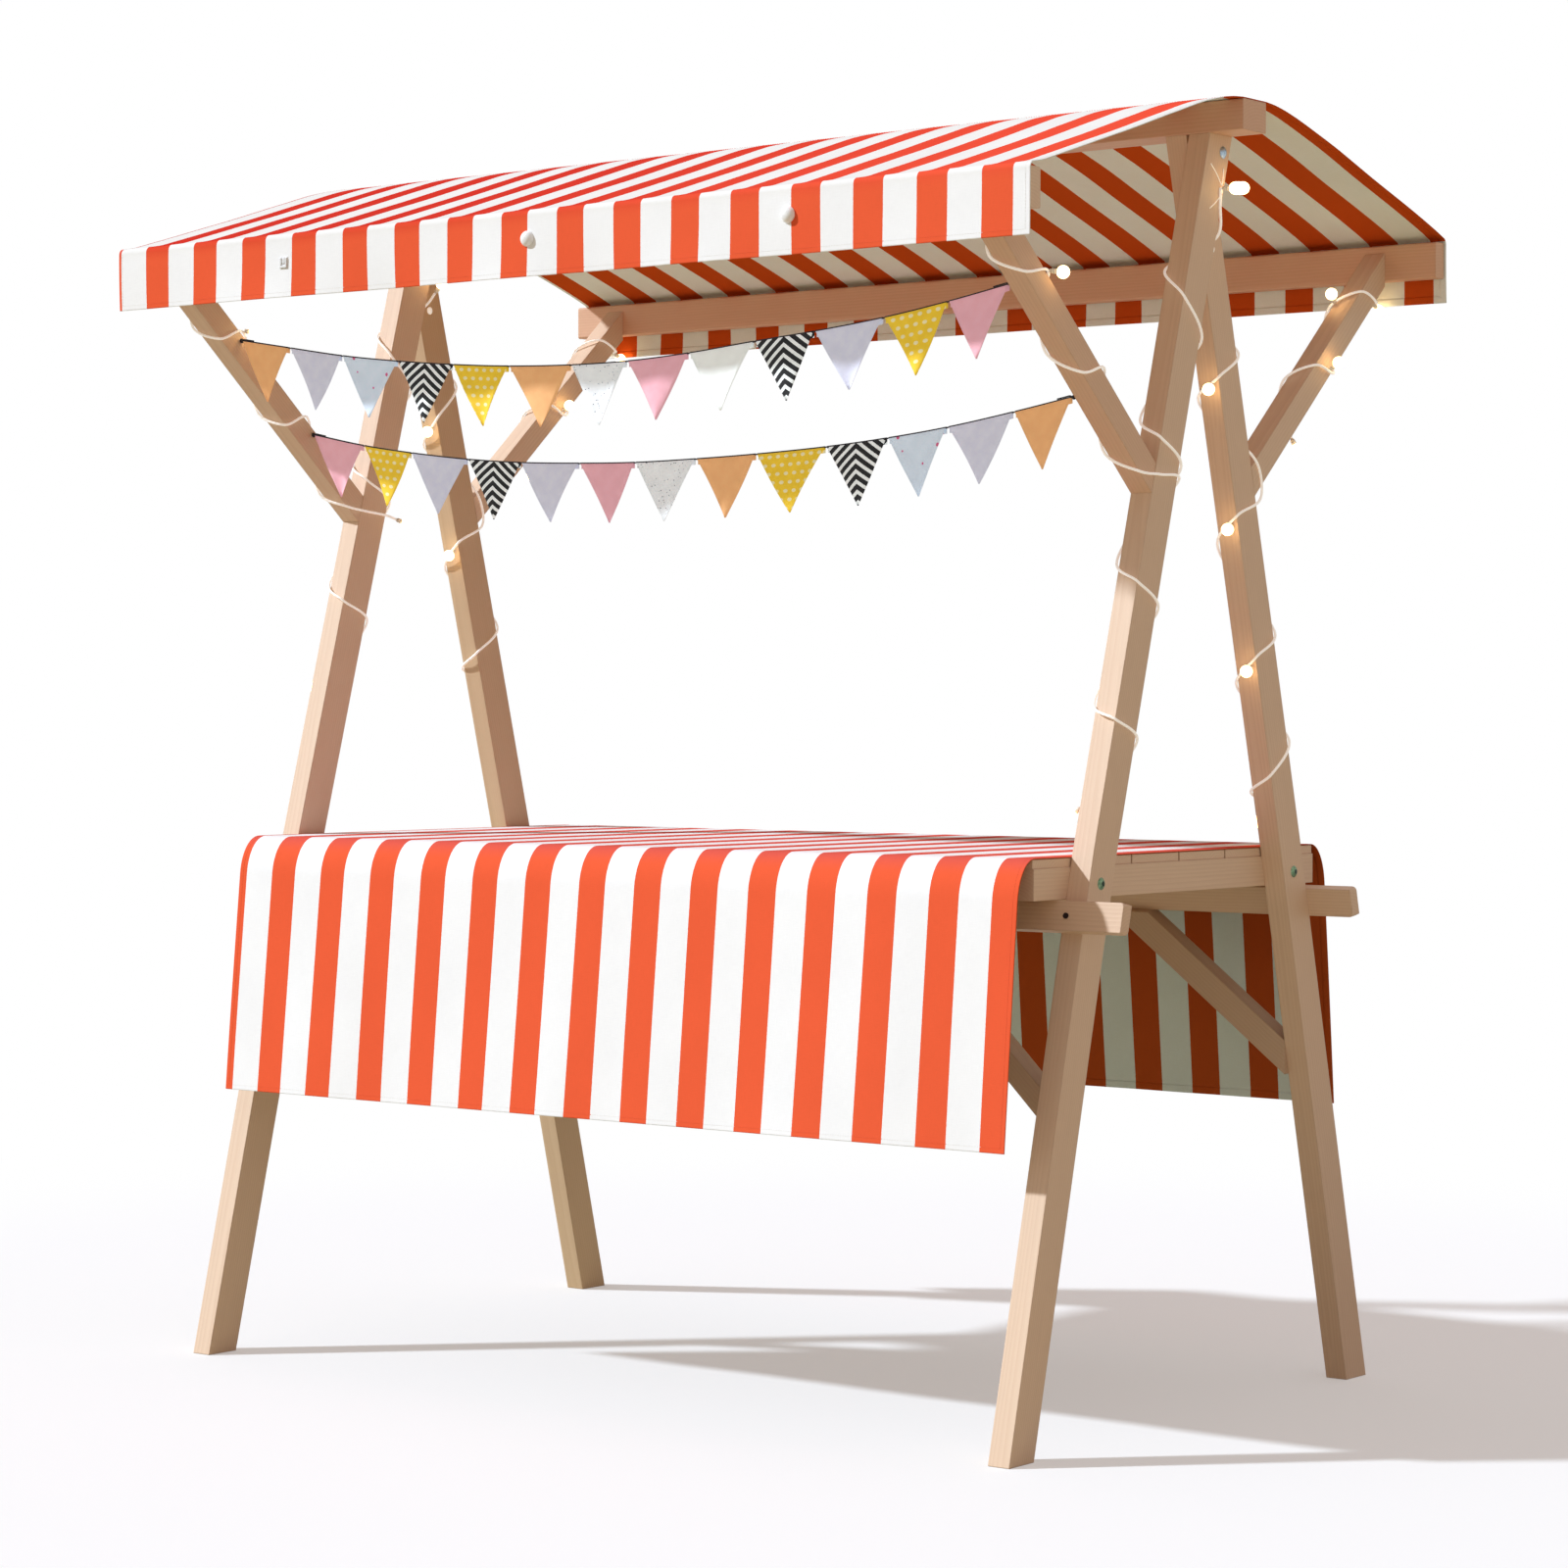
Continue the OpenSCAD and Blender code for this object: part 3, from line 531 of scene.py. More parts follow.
def flag_finish(kind):
    """Thin cotton for one kind of flag. Its UV map has metres from the middle and down."""
    f = Finish("flag_" + kind)
    across, down, place = f.on_cloth()
    colour = FLAG_COLOURS[kind]
    if kind == "zigzag":
        band = ((down - abs(across) * 0.74 + f.cloudy(place, 300.0) * 0.0008) / 0.0160).share()
        colour = f.blend(band < 0.58, colour, (0.012, 0.012, 0.013))
    elif kind == "yellow":
        # Each row of soft oval dots is half a step on from the last
        row = down / (DOT_PITCH[1] * MM)
        beside = (across / (DOT_PITCH[0] * MM) + row.whole() * 0.5).share() - 0.5
        dot = (beside * (DOT_PITCH[0] / DOT_SIZE[0])).span(
            (row.share() - 0.5) * (DOT_PITCH[1] / DOT_SIZE[1]))
        colour = f.blend(dot.ease(0.38, 0.58, 1.0, 0.0), colour, (0.930, 0.800, 0.450))
    elif kind in FLAG_SPECKS:
        scale, flatter, wide, speck = FLAG_SPECKS[kind]
        cells = f.node("ShaderNodeTexVoronoi", sockets={
            "Vector": f.scaled(place, (1.0, flatter, 1.0)), "Scale": scale}).outputs["Distance"]
        colour = f.blend(Amount(f.tree, cells).ease(wide, wide * 0.8), colour, speck)
    # The fold over the string is coloured near black
    colour = f.blend(abs(down) < DARK_FOLD_REACH, colour, (0.020, 0.018, 0.022))
    crease = f.cloudy(place, 45.0, 3.0)
    # The colour is darker where the creases dip: painted shade in the creases
    colour = f.shade(colour, crease.ease(0.3, 0.7, 0.94, 1.03))
    # Painted light: a faint glow in the flag's own colour, tinted blue, brightens the thin cotton
    # in the canopy's shade
    return f.done(colour, crease.ease(0.3, 0.7, 0.9, 0.8),
                  weave(across, down, 0.0007) * 0.00003 + crease * 0.0005, 0.6,
                  Emission_Color=f.scaled(colour, (0.62, 0.84, 1.0)), Emission_Strength=0.36)


def metal_finish(name, colour, roughness, stain, amount, bolts=None):
    """Plated metal with cloudy tarnish, and a round socket where bolts stand along X, its hollow
    painted near black as shade.

    bolts is a node whose bolts are level, as far to the front as to the back."""
    f = Finish(name)
    cloud = f.cloudy(f.where(), 180.0, 4.0, 0.65)
    fine = f.cloudy(f.where(), 1500.0)
    tinted = f.blend(cloud.ease(0.42, 0.66, 0.0, amount), colour, stain)
    height = cloud * 0.0003
    if bolts:
        low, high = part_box(bolts)
        _, y, z = f.parts(f.where())
        beside = abs(y) - (high.y - (high.z - low.z) / 2)
        socket = beside.span(z - (low.z + high.z) / 2).ease(0.0036, 0.0044, 1.0, 0.0)
        # Painted shade: the socket's hollow is coloured near black, with a dip in the bump
        tinted = f.blend(socket, tinted, (0.020, 0.035, 0.020))
        height = height - socket * 0.002
    return f.done(f.shade(tinted, fine.ease(0.3, 0.7, 0.94, 1.05)),
                  cloud.ease(0.35, 0.7, roughness, roughness + 0.25), height, 0.5,
                  Metallic=0.85)


def enamel_finish(name, colour, roughness):
    """Smooth moulded plastic, faintly mottled."""
    f = Finish(name)
    cloud = f.cloudy(f.where(), 120.0, 3.0)
    return f.done(f.shade(colour, cloud.ease(0.3, 0.7, 0.95, 1.03)),
                  cloud.ease(0.3, 0.7, roughness, roughness + 0.12), cloud * 0.0002, 0.4)


def glow_finish(name):
    """The frosted glass of a lit bulb, cloudy with warm light."""
    f = Finish(name)
    cloud = f.cloudy(f.where(), 90.0)
    warm = f.blend(cloud.ease(0.3, 0.7), (1.0, 0.62, 0.24), (1.0, 0.72, 0.36))
    return f.done((0.90, 0.84, 0.72), cloud.ease(0.3, 0.7, 0.25, 0.4), cloud * 0.0002, 0.4,
                  Emission_Color=warm, Emission_Strength=6.5)


def plug_finish(name):
    """Pale end grain, with a painted glow that keeps it bright."""
    f = Finish(name)
    grain = f.cloudy(f.where(), (900.0, 900.0, 60.0))
    return f.done(f.shade((0.950, 0.920, 0.850), grain.ease(0.3, 0.7, 0.93, 1.04)), 0.5,
                  grain * 0.0002, 0.5, Emission_Color=(1.0, 0.97, 0.9, 1.0),
                  Emission_Strength=0.35)


STRING_BLACK = cord_finish("black_twine", (0.030, 0.030, 0.038), 420.0, 0.85, 0.00018)
# The white cord and the cream wires carry a painted glow that brightens them as if lit
CORD_WHITE = cord_finish("white_light_cord", (0.930, 0.920, 0.900), 110.0, 0.42, 0.00015, 0.95,
                         0.3)
WIRE_CREAM = cord_finish("cream_wire", (0.900, 0.800, 0.640), 300.0, 0.45, 0.0001, 0.9, 0.35)
GLOW = glow_finish("lit_bulb")
HOLDER_WHITE = enamel_finish("bulb_holder", (0.800, 0.770, 0.700), 0.35)
SNAP_WHITE = enamel_finish("snap_button", (0.920, 0.930, 0.940), 0.16)
CLIP_GREY = enamel_finish("grey_clip", (0.780, 0.790, 0.800), 0.4)
ZINC = metal_finish("worn_zinc", (0.210, 0.310, 0.190), 0.40, (0.080, 0.150, 0.070), 0.85,
                    "table_bolts")
BLUED = metal_finish("blued_bolt", (0.420, 0.520, 0.600), 0.30, (0.200, 0.300, 0.400), 0.7)
DARK_STEEL = metal_finish("dark_screw", (0.040, 0.022, 0.018), 0.55, (0.02, 0.012, 0.01), 0.6)
THREADS = {"white": enamel_finish("white_thread", (0.860, 0.850, 0.830), 0.8),
           "orange": enamel_finish("orange_thread", (0.760, 0.110, 0.030), 0.8)}


# Bunting strings
UPPER_STRING = [(-797, -464, 1750), (-680, -466, 1731), (-554, -469, 1711), (-423, -471, 1695),
                (-298, -473, 1683), (-172, -476, 1674), (-37, -478, 1669), (82, -480, 1669),
                (210, -482, 1675), (343, -485, 1686), (462, -487, 1695), (595, -490, 1708),
                (716, -492, 1725), (829, -494, 1744)]
LOWER_STRING = [(-797, -288, 1597), (-673, -291, 1573), (-558, -294, 1556), (-424, -297, 1540),
                (-301, -300, 1530), (-169, -303, 1524), (-47, -305, 1521), (84, -308, 1522),
                (211, -311, 1525), (354, -315, 1531), (477, -318, 1540), (593, -320, 1552),
                (719, -323, 1570), (829, -326, 1588)]
KNOT_R, KNOT_TURN, KNOT_D = 0.0030, 0.785, 0.0022


def knot_round(line, way):
    """The string's turns round a tack, and its short end, laid back over the string."""
    turns = [line[0] + Vector((way * (0.0024 - 0.0018 * i / 16), -KNOT_R * math.cos(i * KNOT_TURN),
                               KNOT_R * math.sin(i * KNOT_TURN))) for i in range(17)]
    over = [p + Vector((0, -0.0014, 0.0028)) for p in line[1:6]]
    return through(turns + over, 0.002)


def hang_string(name, route, node):
    """A string tied to a tack at each end."""
    points = [Vector(p) * MM for p in route]
    line = through(points, 0.006)
    string = tubes(name, [line], STRING_D * MM, STRING_BLACK)
    knots = tubes(name + "_knots", [knot_round(line, -1), knot_round(line[::-1], 1)], KNOT_D,
                  STRING_BLACK)
    settle(string, "string", node)
    settle(knots, "string")
    long = sum((b - a).length for a, b in zip(line, line[1:]))
    return line


upper_line = hang_string("bunting_string_high", UPPER_STRING, "bunting_string_upper")
lower_line = hang_string("bunting_string_low", LOWER_STRING, "bunting_string_lower")

# Bunting flags
UPPER_FLAGS = ["orange", "lavender", "sky", "zigzag", "yellow", "orange", "speckled", "pink",
               "cream", "zigzag", "lavender", "yellow", "pink"]
LOWER_FLAGS = ["pink", "yellow", "lavender", "zigzag", "lavender", "pink", "speckled", "orange",
               "yellow", "zigzag", "sky", "lavender", "orange"]
FLAG_FINISHES = {kind: flag_finish(kind) for kind in sorted(set(UPPER_FLAGS))}
COLUMNS, ROWS, NARROWS = 10, 14, 0.985
COTTON, STRING_WRAP = 0.0005, (STRING_D / 2 + 0.45) * MM
# From the back hem over the string to the tip: (turn round the string in degrees, metres back
# down from it, share of the flag's height down from it)
FLAG_LEVELS = [(-90, 0.009, 0), (-90, 0.004, 0), (-90, 0, 0), (-30, 0, 0), (30, 0, 0), (90, 0, 0)]
FLAG_LEVELS += [(90, 0, row / ROWS) for row in range(1, ROWS + 1)]


def flag_point(n, spots, k, level, lean):
    """The point of flag n in column k at one level. It curls, bows and leans as it hangs."""
    turn, back, down = level
    share, angle = 2 * k / COLUMNS - 1, math.radians(turn)
    middle = spots[COLUMNS // 2]
    p = spots[k] if not down else middle + (spots[k] - middle) * (1 - down * NARROWS)
    curl = 0.010 * math.sin(1.9 * down + n * 1.3) * down * (1 - 0.4 * share * share)
    bow = 0.004 * math.sin(math.pi * down) * (share * share - 0.4) * (1 if n % 2 else -1)
    return p + Vector((0, -1, 0)) * (STRING_WRAP * math.sin(angle)) \
        + Vector((0, 0, 1)) * (STRING_WRAP * math.cos(angle) - back - down * (FLAG_H * MM)) \
        + Vector((0, 1, 0)) * (curl * 0.6 + bow + lean * down * 0.05)


def hang_flags(name, route, line, kinds, node):
    """Flags sewn over the string, one between each pair of its points."""
    points, faces, uvs, picks = [], [], [], []
    names, tall, wide, area = list(FLAG_FINISHES), FLAG_H * MM, COLUMNS + 1, 0.0
    for n, kind in enumerate(kinds):
        a, b = (Vector(p) * MM for p in route[n:n + 2])
        ahead = (b - a).normalized()
        half = (b - a).length / 2 - FLAG_GAP * MM
        spots = []
        for k in range(wide):
            want = (a + b) / 2 + ahead * (half * (2 * k / COLUMNS - 1))
            near = min(line, key=lambda p: (p - want).length)
            spots.append(near + ahead * (want - near).dot(ahead))
        lean = 0.05 * math.sin(n * 2.7 + route[0][2]) + 0.02
        first = len(points)
        points += [flag_point(n, spots, k, level, lean) for level in FLAG_LEVELS
                   for k in range(wide)]
        for r in range(len(FLAG_LEVELS) - 1):
            for k in range(COLUMNS):
                i = first + r * wide + k
                faces.append((i, i + wide, i + wide + 1, i + 1))
                uvs.append([(half * (2 * column / COLUMNS - 1) * (1 - level[2] * NARROWS),
                             level[2] * tall - level[1]) for level, column in
                            ((FLAG_LEVELS[r], k), (FLAG_LEVELS[r + 1], k),
                             (FLAG_LEVELS[r + 1], k + 1), (FLAG_LEVELS[r], k + 1))])
                picks.append(names.index(kind))
        # A triangle that stays a little wide at its tip, and the strips at the fold
        area += half * tall * 1.015 + 2 * half * 0.016
    flags = make_piece(name, points, faces, list(FLAG_FINISHES.values()), uvs, picks)
    thicken(flags, COTTON)
    settle(flags, "flag_cloth", node)


hang_flags("bunting_flags_high", UPPER_STRING, upper_line, UPPER_FLAGS,
           "bunting_flags_upper")
hang_flags("bunting_flags_low", LOWER_STRING, lower_line, LOWER_FLAGS,
           "bunting_flags_lower")


# Light cords and bulbs

# Each entry is the side along X, the side along Y (-1 and 1 are the leg's faces) and the height
LEG_CORDS = {
    (RIGHT, FRONT): [(1, 0.56, 1931), (1, 0.75, 1905), (1, 1, 1858), (-1, 1, 1830),
                     (-1, -1, 1795), (1, -1, 1755), (1, 1, 1690), (-1, 1, 1645),
                     (-1, -1, 1560), (1, -1, 1534), (1, 1, 1492), (-1, 1, 1433),
                     (-1, -1, 1337), (1, -1, 1312), (1, 1, 1272), (-1, 1, 1215),
                     (-1, -1, 1121), (1, -1, 1102), (1, 1, 1070), (-1, 1, 1010), (-1, 0, 985),
                     (-1.6, -0.2, 968)],
    (LEFT, FRONT): [(1.6, 1, 1868), (1, 1, 1850), (-1, 1, 1822),
                    (-1, -1, 1787), (1, -1, 1750), (1, 1, 1690), (-1, 1, 1640),
                    (-1, -1, 1551), (1, -1, 1524), (1, 1, 1485), (-1, 1, 1430),
                    (-1, -1, 1333), (1, -1, 1307), (1, 1, 1273), (-1, 1, 1212), (-1, 0, 1187),
                    (-1.6, -0.2, 1170)],
    (RIGHT, REAR): [(-1.6, 0.5, 1752), (-1, 0.8, 1735), (-1, 1, 1725),
                    (1, 1, 1683), (1, -1, 1642), (-1, -1, 1612), (-1, 1, 1560),
                    (1, 1, 1524), (1, 1.55, 1497), (1, 1.3, 1456), (1, -1, 1425), (-1, -1, 1385),
                    (-1, 1, 1304), (1, 1, 1238), (1, -1, 1200), (-1, -1, 1160), (-1, 1, 1112),
                    (1, 1, 1067), (1, -1, 1012), (-1, -1, 984), (-1, 0, 965), (-1.6, 0.2, 948)],
    (LEFT, REAR): [(-1.6, 0.5, 1777), (-1, 0.8, 1760), (-1, 1, 1750),
                   (1, 1, 1709), (1, -1, 1645), (-1, -1, 1600), (-1, 1, 1560),
                   (1, 1, 1524), (1, 1.4, 1492), (1, 1.2, 1456), (1, -1, 1420), (-1, -1, 1375),
                   (-1, 1, 1322), (1, 1, 1265), (1, -1, 1218), (-1, -1, 1190), (-1, 0, 1170),
                   (-1.6, 0.2, 1153)]}
# Round the struts: side along X, side from the lower to the upper face, way up from the foot
STRUT_CORDS = {
    (RIGHT, FRONT): [(0, 1.6, 560), (0, 1, 548), (-1, 1, 535), (-1, -1, 505), (1, -1, 470),
                     (1, 1, 426), (-1, 1, 365), (-1, -1, 305), (1, -1, 262), (1, 1, 225),
                     (-1, 1, 155), (-1, -1, 90), (1, -1, 50)],
    (LEFT, FRONT): [(0, 1.6, 555), (0, 1, 543), (-1, 1, 530), (-1, -1, 486), (1, -1, 458),
                    (1, 1, 430), (-1, 1, 350), (-1, -1, 276), (1, -1, 248), (1, 1, 221),
                    (-1, 1, 145), (-1, -1, 73), (1, -1, 42)],
    (RIGHT, REAR): [(0, -1.6, 535), (0, -1, 530), (1, -1, 515), (1, 1, 485), (-1, 1, 444),
                    (-1, -1, 385), (1, -1, 323), (1, 1, 285), (-1, 1, 247), (-1, -1, 195),
                    (-0.2, -1, 180), (0.2, -1.6, 170)],
    (LEFT, REAR): [(0, -1.6, 540), (0, -1, 535), (1, -1, 525), (1, 1, 500), (-1, 1, 470),
                   (-1, -1, 400), (1, -1, 326), (1, 1, 300), (-1, 1, 272), (-1, -1, 215),
                   (-0.2, -1, 200), (0.2, -1.6, 190)]}
# The front struts' cords end on the leg
TAILS = {RIGHT: [(1, -0.6, 1478), (1, 1, 1474), (-1, 1, 1415), (-1.5, 1.5, 1402)],
         LEFT: [(1, -0.6, 1468), (1, 1, 1462), (1.3, 1.5, 1456)]}
# Thin bare wires on the front right leg, from under the long bulb
CAPSULE_WIRES = [[(0.94, -0.5, 1966), (0.95, 0.1, 1952), (1.02, 0.6, 1935)],
                 [(0.94, 0.61, 1962), (1, 0.64, 1950), (1.04, 0.6, 1935)],
                 [(0.94, 0, 1897), (0.95, 0.4, 1908), (1.04, 0.7, 1924), (1.04, 0.62, 1933)]]
WIRE_D = 0.0016


def on_leg(side, run, turns):
    """Points in metres of a cord's turns round a leg."""
    return [Vector((leg_x(side) + LEG_T / 2 + drift(run, z) + x * (LEG_T / 2 + CORD_OFF),
                    run * leg_mid(z) + y * (LEG_HALF + CORD_OFF), z)) * MM for x, y, z in turns]


def on_strut(side, run, turns):
    """Points in metres of a cord's turns round a strut."""
    foot = STRUT_Z[run]
    middle = leg_x(side) + drift(run, foot) + STRUT_T / 2
    rise, reach = math.sin(STRUT_ANGLE), math.cos(STRUT_ANGLE)
    spots = []
    for x, up, way in turns:
        up = STRUT_W / 2 + up * (STRUT_W / 2 + CORD_OFF)
        spots.append(Vector((middle + x * (STRUT_T / 2 + CORD_OFF),
                             run * (leg_out(foot) + way * reach - up * rise),
                             foot + way * rise + up * reach)) * MM)
    return spots


def cord_routes(side):
    """The four cords of one end: the front and the rear leg's, the front and the rear strut's."""
    front = on_strut(side, FRONT, STRUT_CORDS[side, FRONT]) + on_leg(side, FRONT, TAILS[side])
    return [on_leg(side, FRONT, LEG_CORDS[side, FRONT]), on_leg(side, REAR, LEG_CORDS[side, REAR]),
            front, on_strut(side, REAR, STRUT_CORDS[side, REAR])]


def end_spot(point, before):
    """Where a bulb stands off a cord's end."""
    way = (point - before).normalized()
    return point + way * (HEAD_GAP * MM), way, way.orthogonal()


def side_spot(route, i, part, towards):
    """Where a bulb stands on a cord's side, part of the way on from its point i."""
    ahead = (route[i + 1] - route[i]).normalized()
    way = (Vector(towards) - ahead * Vector(towards).dot(ahead)).normalized()
    return route[i].lerp(route[i + 1], part) + way * ((CORD_D / 2 + HEAD_GAP) * MM), way, ahead


OUTWARDS, FORWARDS, UPWARDS = (0.85, 0.5, 0), (0.1, -0.75, -0.5), (0.3, -0.5, 0.8)


def light_spots(side):
    """Where the bulbs stand: the points, and the way out of the cord."""
    leg_front, leg_rear, strut_front, strut_rear = cord_routes(side)
    both = tuple(a + b for a, b in zip(OUTWARDS, UPWARDS))
    spots = [end_spot(r[-1], r[-2]) for r in (leg_front, leg_rear, strut_front, strut_rear)]
    spots += [end_spot(r[0], r[1]) for r in (leg_rear, strut_front, strut_rear)]
    spots += [side_spot(strut_front, 5, 0, OUTWARDS), side_spot(leg_rear, 4, 0.3, FORWARDS),
              side_spot(leg_rear, 10, 0.3, FORWARDS), side_spot(strut_rear, 6, 0.3, both)]
    if side == LEFT:
        return spots + [end_spot(leg_front[0], leg_front[1])]
    return spots + [side_spot(leg_rear, 14, 0.3, FORWARDS), side_spot(strut_rear, 3, 0.8, UPWARDS)]


def bulb_profile(stretch):
    """A bulb's outline, with a short neck at its foot and a long body if stretched."""
    radius, foot = 10, 11
    low, high = foot + radius, foot + radius + stretch
    rise = [(radius * math.sin(math.radians(a)), low - radius * math.cos(math.radians(a)))
            for a in range(22, 91, 11)]
    fall = [(radius * math.sin(math.radians(a)), high - radius * math.cos(math.radians(a)))
            for a in range(90 if stretch else 99, 180, 11)]
    return [(0, foot - 0.6), (2.6, foot - 0.6), (3.1, foot + 0.1), *rise, *fall,
            (0, high + radius)]


HOLDER_PROFILE = [(0, 0), (1.7, 0), (2.4, 0.5), (2.8, 2.4), (3.6, 3.1), (4.0, 3.9), (4.0, 6.0),
                  (3.7, 6.3), (3.7, 6.9), (4.0, 7.2), (4.0, 9.2), (3.7, 9.5), (3.7, 10.1),
                  (4.0, 10.4), (4.0, 11.4), (3.6, 12.0), (0, 12.0)]


def hang_lights():
    """Each end's cords and bulbs, and the long bulb with its wires at the right end."""
    for side, name in ((RIGHT, "right"), (LEFT, "left")):
        routes = cord_routes(side)
        cord = tubes("cord_" + name, [through(r, 0.005) for r in routes], SEEN_CORD_D * MM,
                     CORD_WHITE)
        settle(cord, "light_cord", "light_cord_" + name)
        spots = light_spots(side)
        bulbs = copies("bulbs_" + name, spots, bulb_profile(0), 24, GLOW)
        settle(bulbs, "bulb_glass", "light_bulbs_" + name)
        if side == RIGHT:
            spot = side_spot(routes[0], 0, 0, OUTWARDS)
            settle(copies("capsule_bulb", [spot], bulb_profile(12), 24, GLOW), "bulb_glass")
            spots = spots + [spot]
            wires = tubes("capsule_wires", [through(on_leg(RIGHT, FRONT, turns), 0.004)
                                            for turns in CAPSULE_WIRES], WIRE_D, WIRE_CREAM)
            settle(wires, "light_cord")
        settle(copies("bulb_holders_" + name, spots, HOLDER_PROFILE, 20, HOLDER_WHITE),
               "light_cord")


hang_lights()


# Canvas
def share_of(value, low, high):
    """How far the value is from low to high, from 0 to 1."""
    return min(max((value - low) / (high - low), 0), 1)


def spaced(low, high, step):
    """Places from low to high, at most a step apart."""
    count = math.ceil((high - low) / step)
    return [low + (high - low) * i / count for i in range(count + 1)]


def monotone(points, count):
    """Heights of a curve through the points that never overshoots them, as count steps."""
    xs, ys = zip(*points)
    slopes = [(b - a) / (d - c) for a, b, c, d in zip(ys, ys[1:], xs, xs[1:])]
    ends = [slopes[0]] + [0 if p * q <= 0 else 2 * p * q / (p + q)
                          for p, q in zip(slopes, slopes[1:])] + [slopes[-1]]
    line = []
    for i in range(count + 1):
        x = xs[0] + (xs[-1] - xs[0]) * i / count
        k = min(max(bisect_right(xs, x) - 1, 0), len(xs) - 2)
        h = xs[k + 1] - xs[k]
        line.append((x, eased(ys[k], ys[k + 1], ends[k], ends[k + 1], h, (x - xs[k]) / h)))
    return line


def between(table, at):
    """The value at one place of a table of (place, value)."""
    k = min(max(bisect_right(table, (at,)) - 1, 0), len(table) - 2)
    (a, low), (b, high) = table[k:k + 2]
    return low + (high - low) * share_of(at, a, b)


def bend(centre, radius, start, stop, count):
    """Part of a circle in the Y-Z plane, turning down from start to stop degrees."""
    return [(centre[0] + radius * math.cos(math.radians(start + (stop - start) * i / count)),
             centre[1] + radius * math.sin(math.radians(start + (stop - start) * i / count)))
            for i in range(1, count + 1)]


# The slope of the roof: (share of the way out to the eave, share of the way down to it)
ROOF_CURVE = [(0, 0), (0.045, 0.013), (0.1, 0.044), (0.15, 0.082), (0.2, 0.126), (0.26, 0.183),
              (0.37, 0.291), (0.58, 0.524), (0.82, 0.783), (0.955, 0.941), (1, 1)]
ROOF_RUN, ROOF_FALL, RIDGE_HALF = 576, 158.3, 34
# The bend over the eave beam: its radius, and how far under the beam's top its middle is
EAVE_BEND, EAVE_DROP = 12.5, 2.5


def canopy_line():
    """The canopy from its middle out, in millimetres: sagging to the eave, round it and down."""
    roof = monotone([(RIDGE_HALF + x * ROOF_RUN, CANOPY_TOP - y * ROOF_FALL)
                     for x, y in ROOF_CURVE], 60)
    slope = math.degrees(math.atan2(roof[-2][1] - roof[-1][1], roof[-1][0] - roof[-2][0]))
    arc = bend((CANOPY_EDGE - EAVE_BEND, BEAM_TOP - EAVE_DROP), EAVE_BEND, 90 - slope, 0, 8)
    # The roof's points stop just short of the bend
    kept = [p for p in roof if p[0] < arc[0][0] - 1.5]
    return ([(0, CANOPY_TOP), (RIDGE_HALF * 0.6, CANOPY_TOP)] + kept + arc
            + [(CANOPY_EDGE, VALANCE_LOW)])


def cloth_line():
    """The tablecloth from its middle outwards: flat, over the table's edge, and down to its hem."""
    edge, wide, high, turn, steps = 407, 46, 75, 81, 18
    bent = [(edge + wide * math.sin(math.radians(turn * i / steps)),
             CLOTH_TOP - high * (1 - math.cos(math.radians(turn * i / steps))))
            for i in range(1, steps + 1)]
    return [(0, CLOTH_TOP), (edge, CLOTH_TOP)] + bent + [CLOTH_LOW]


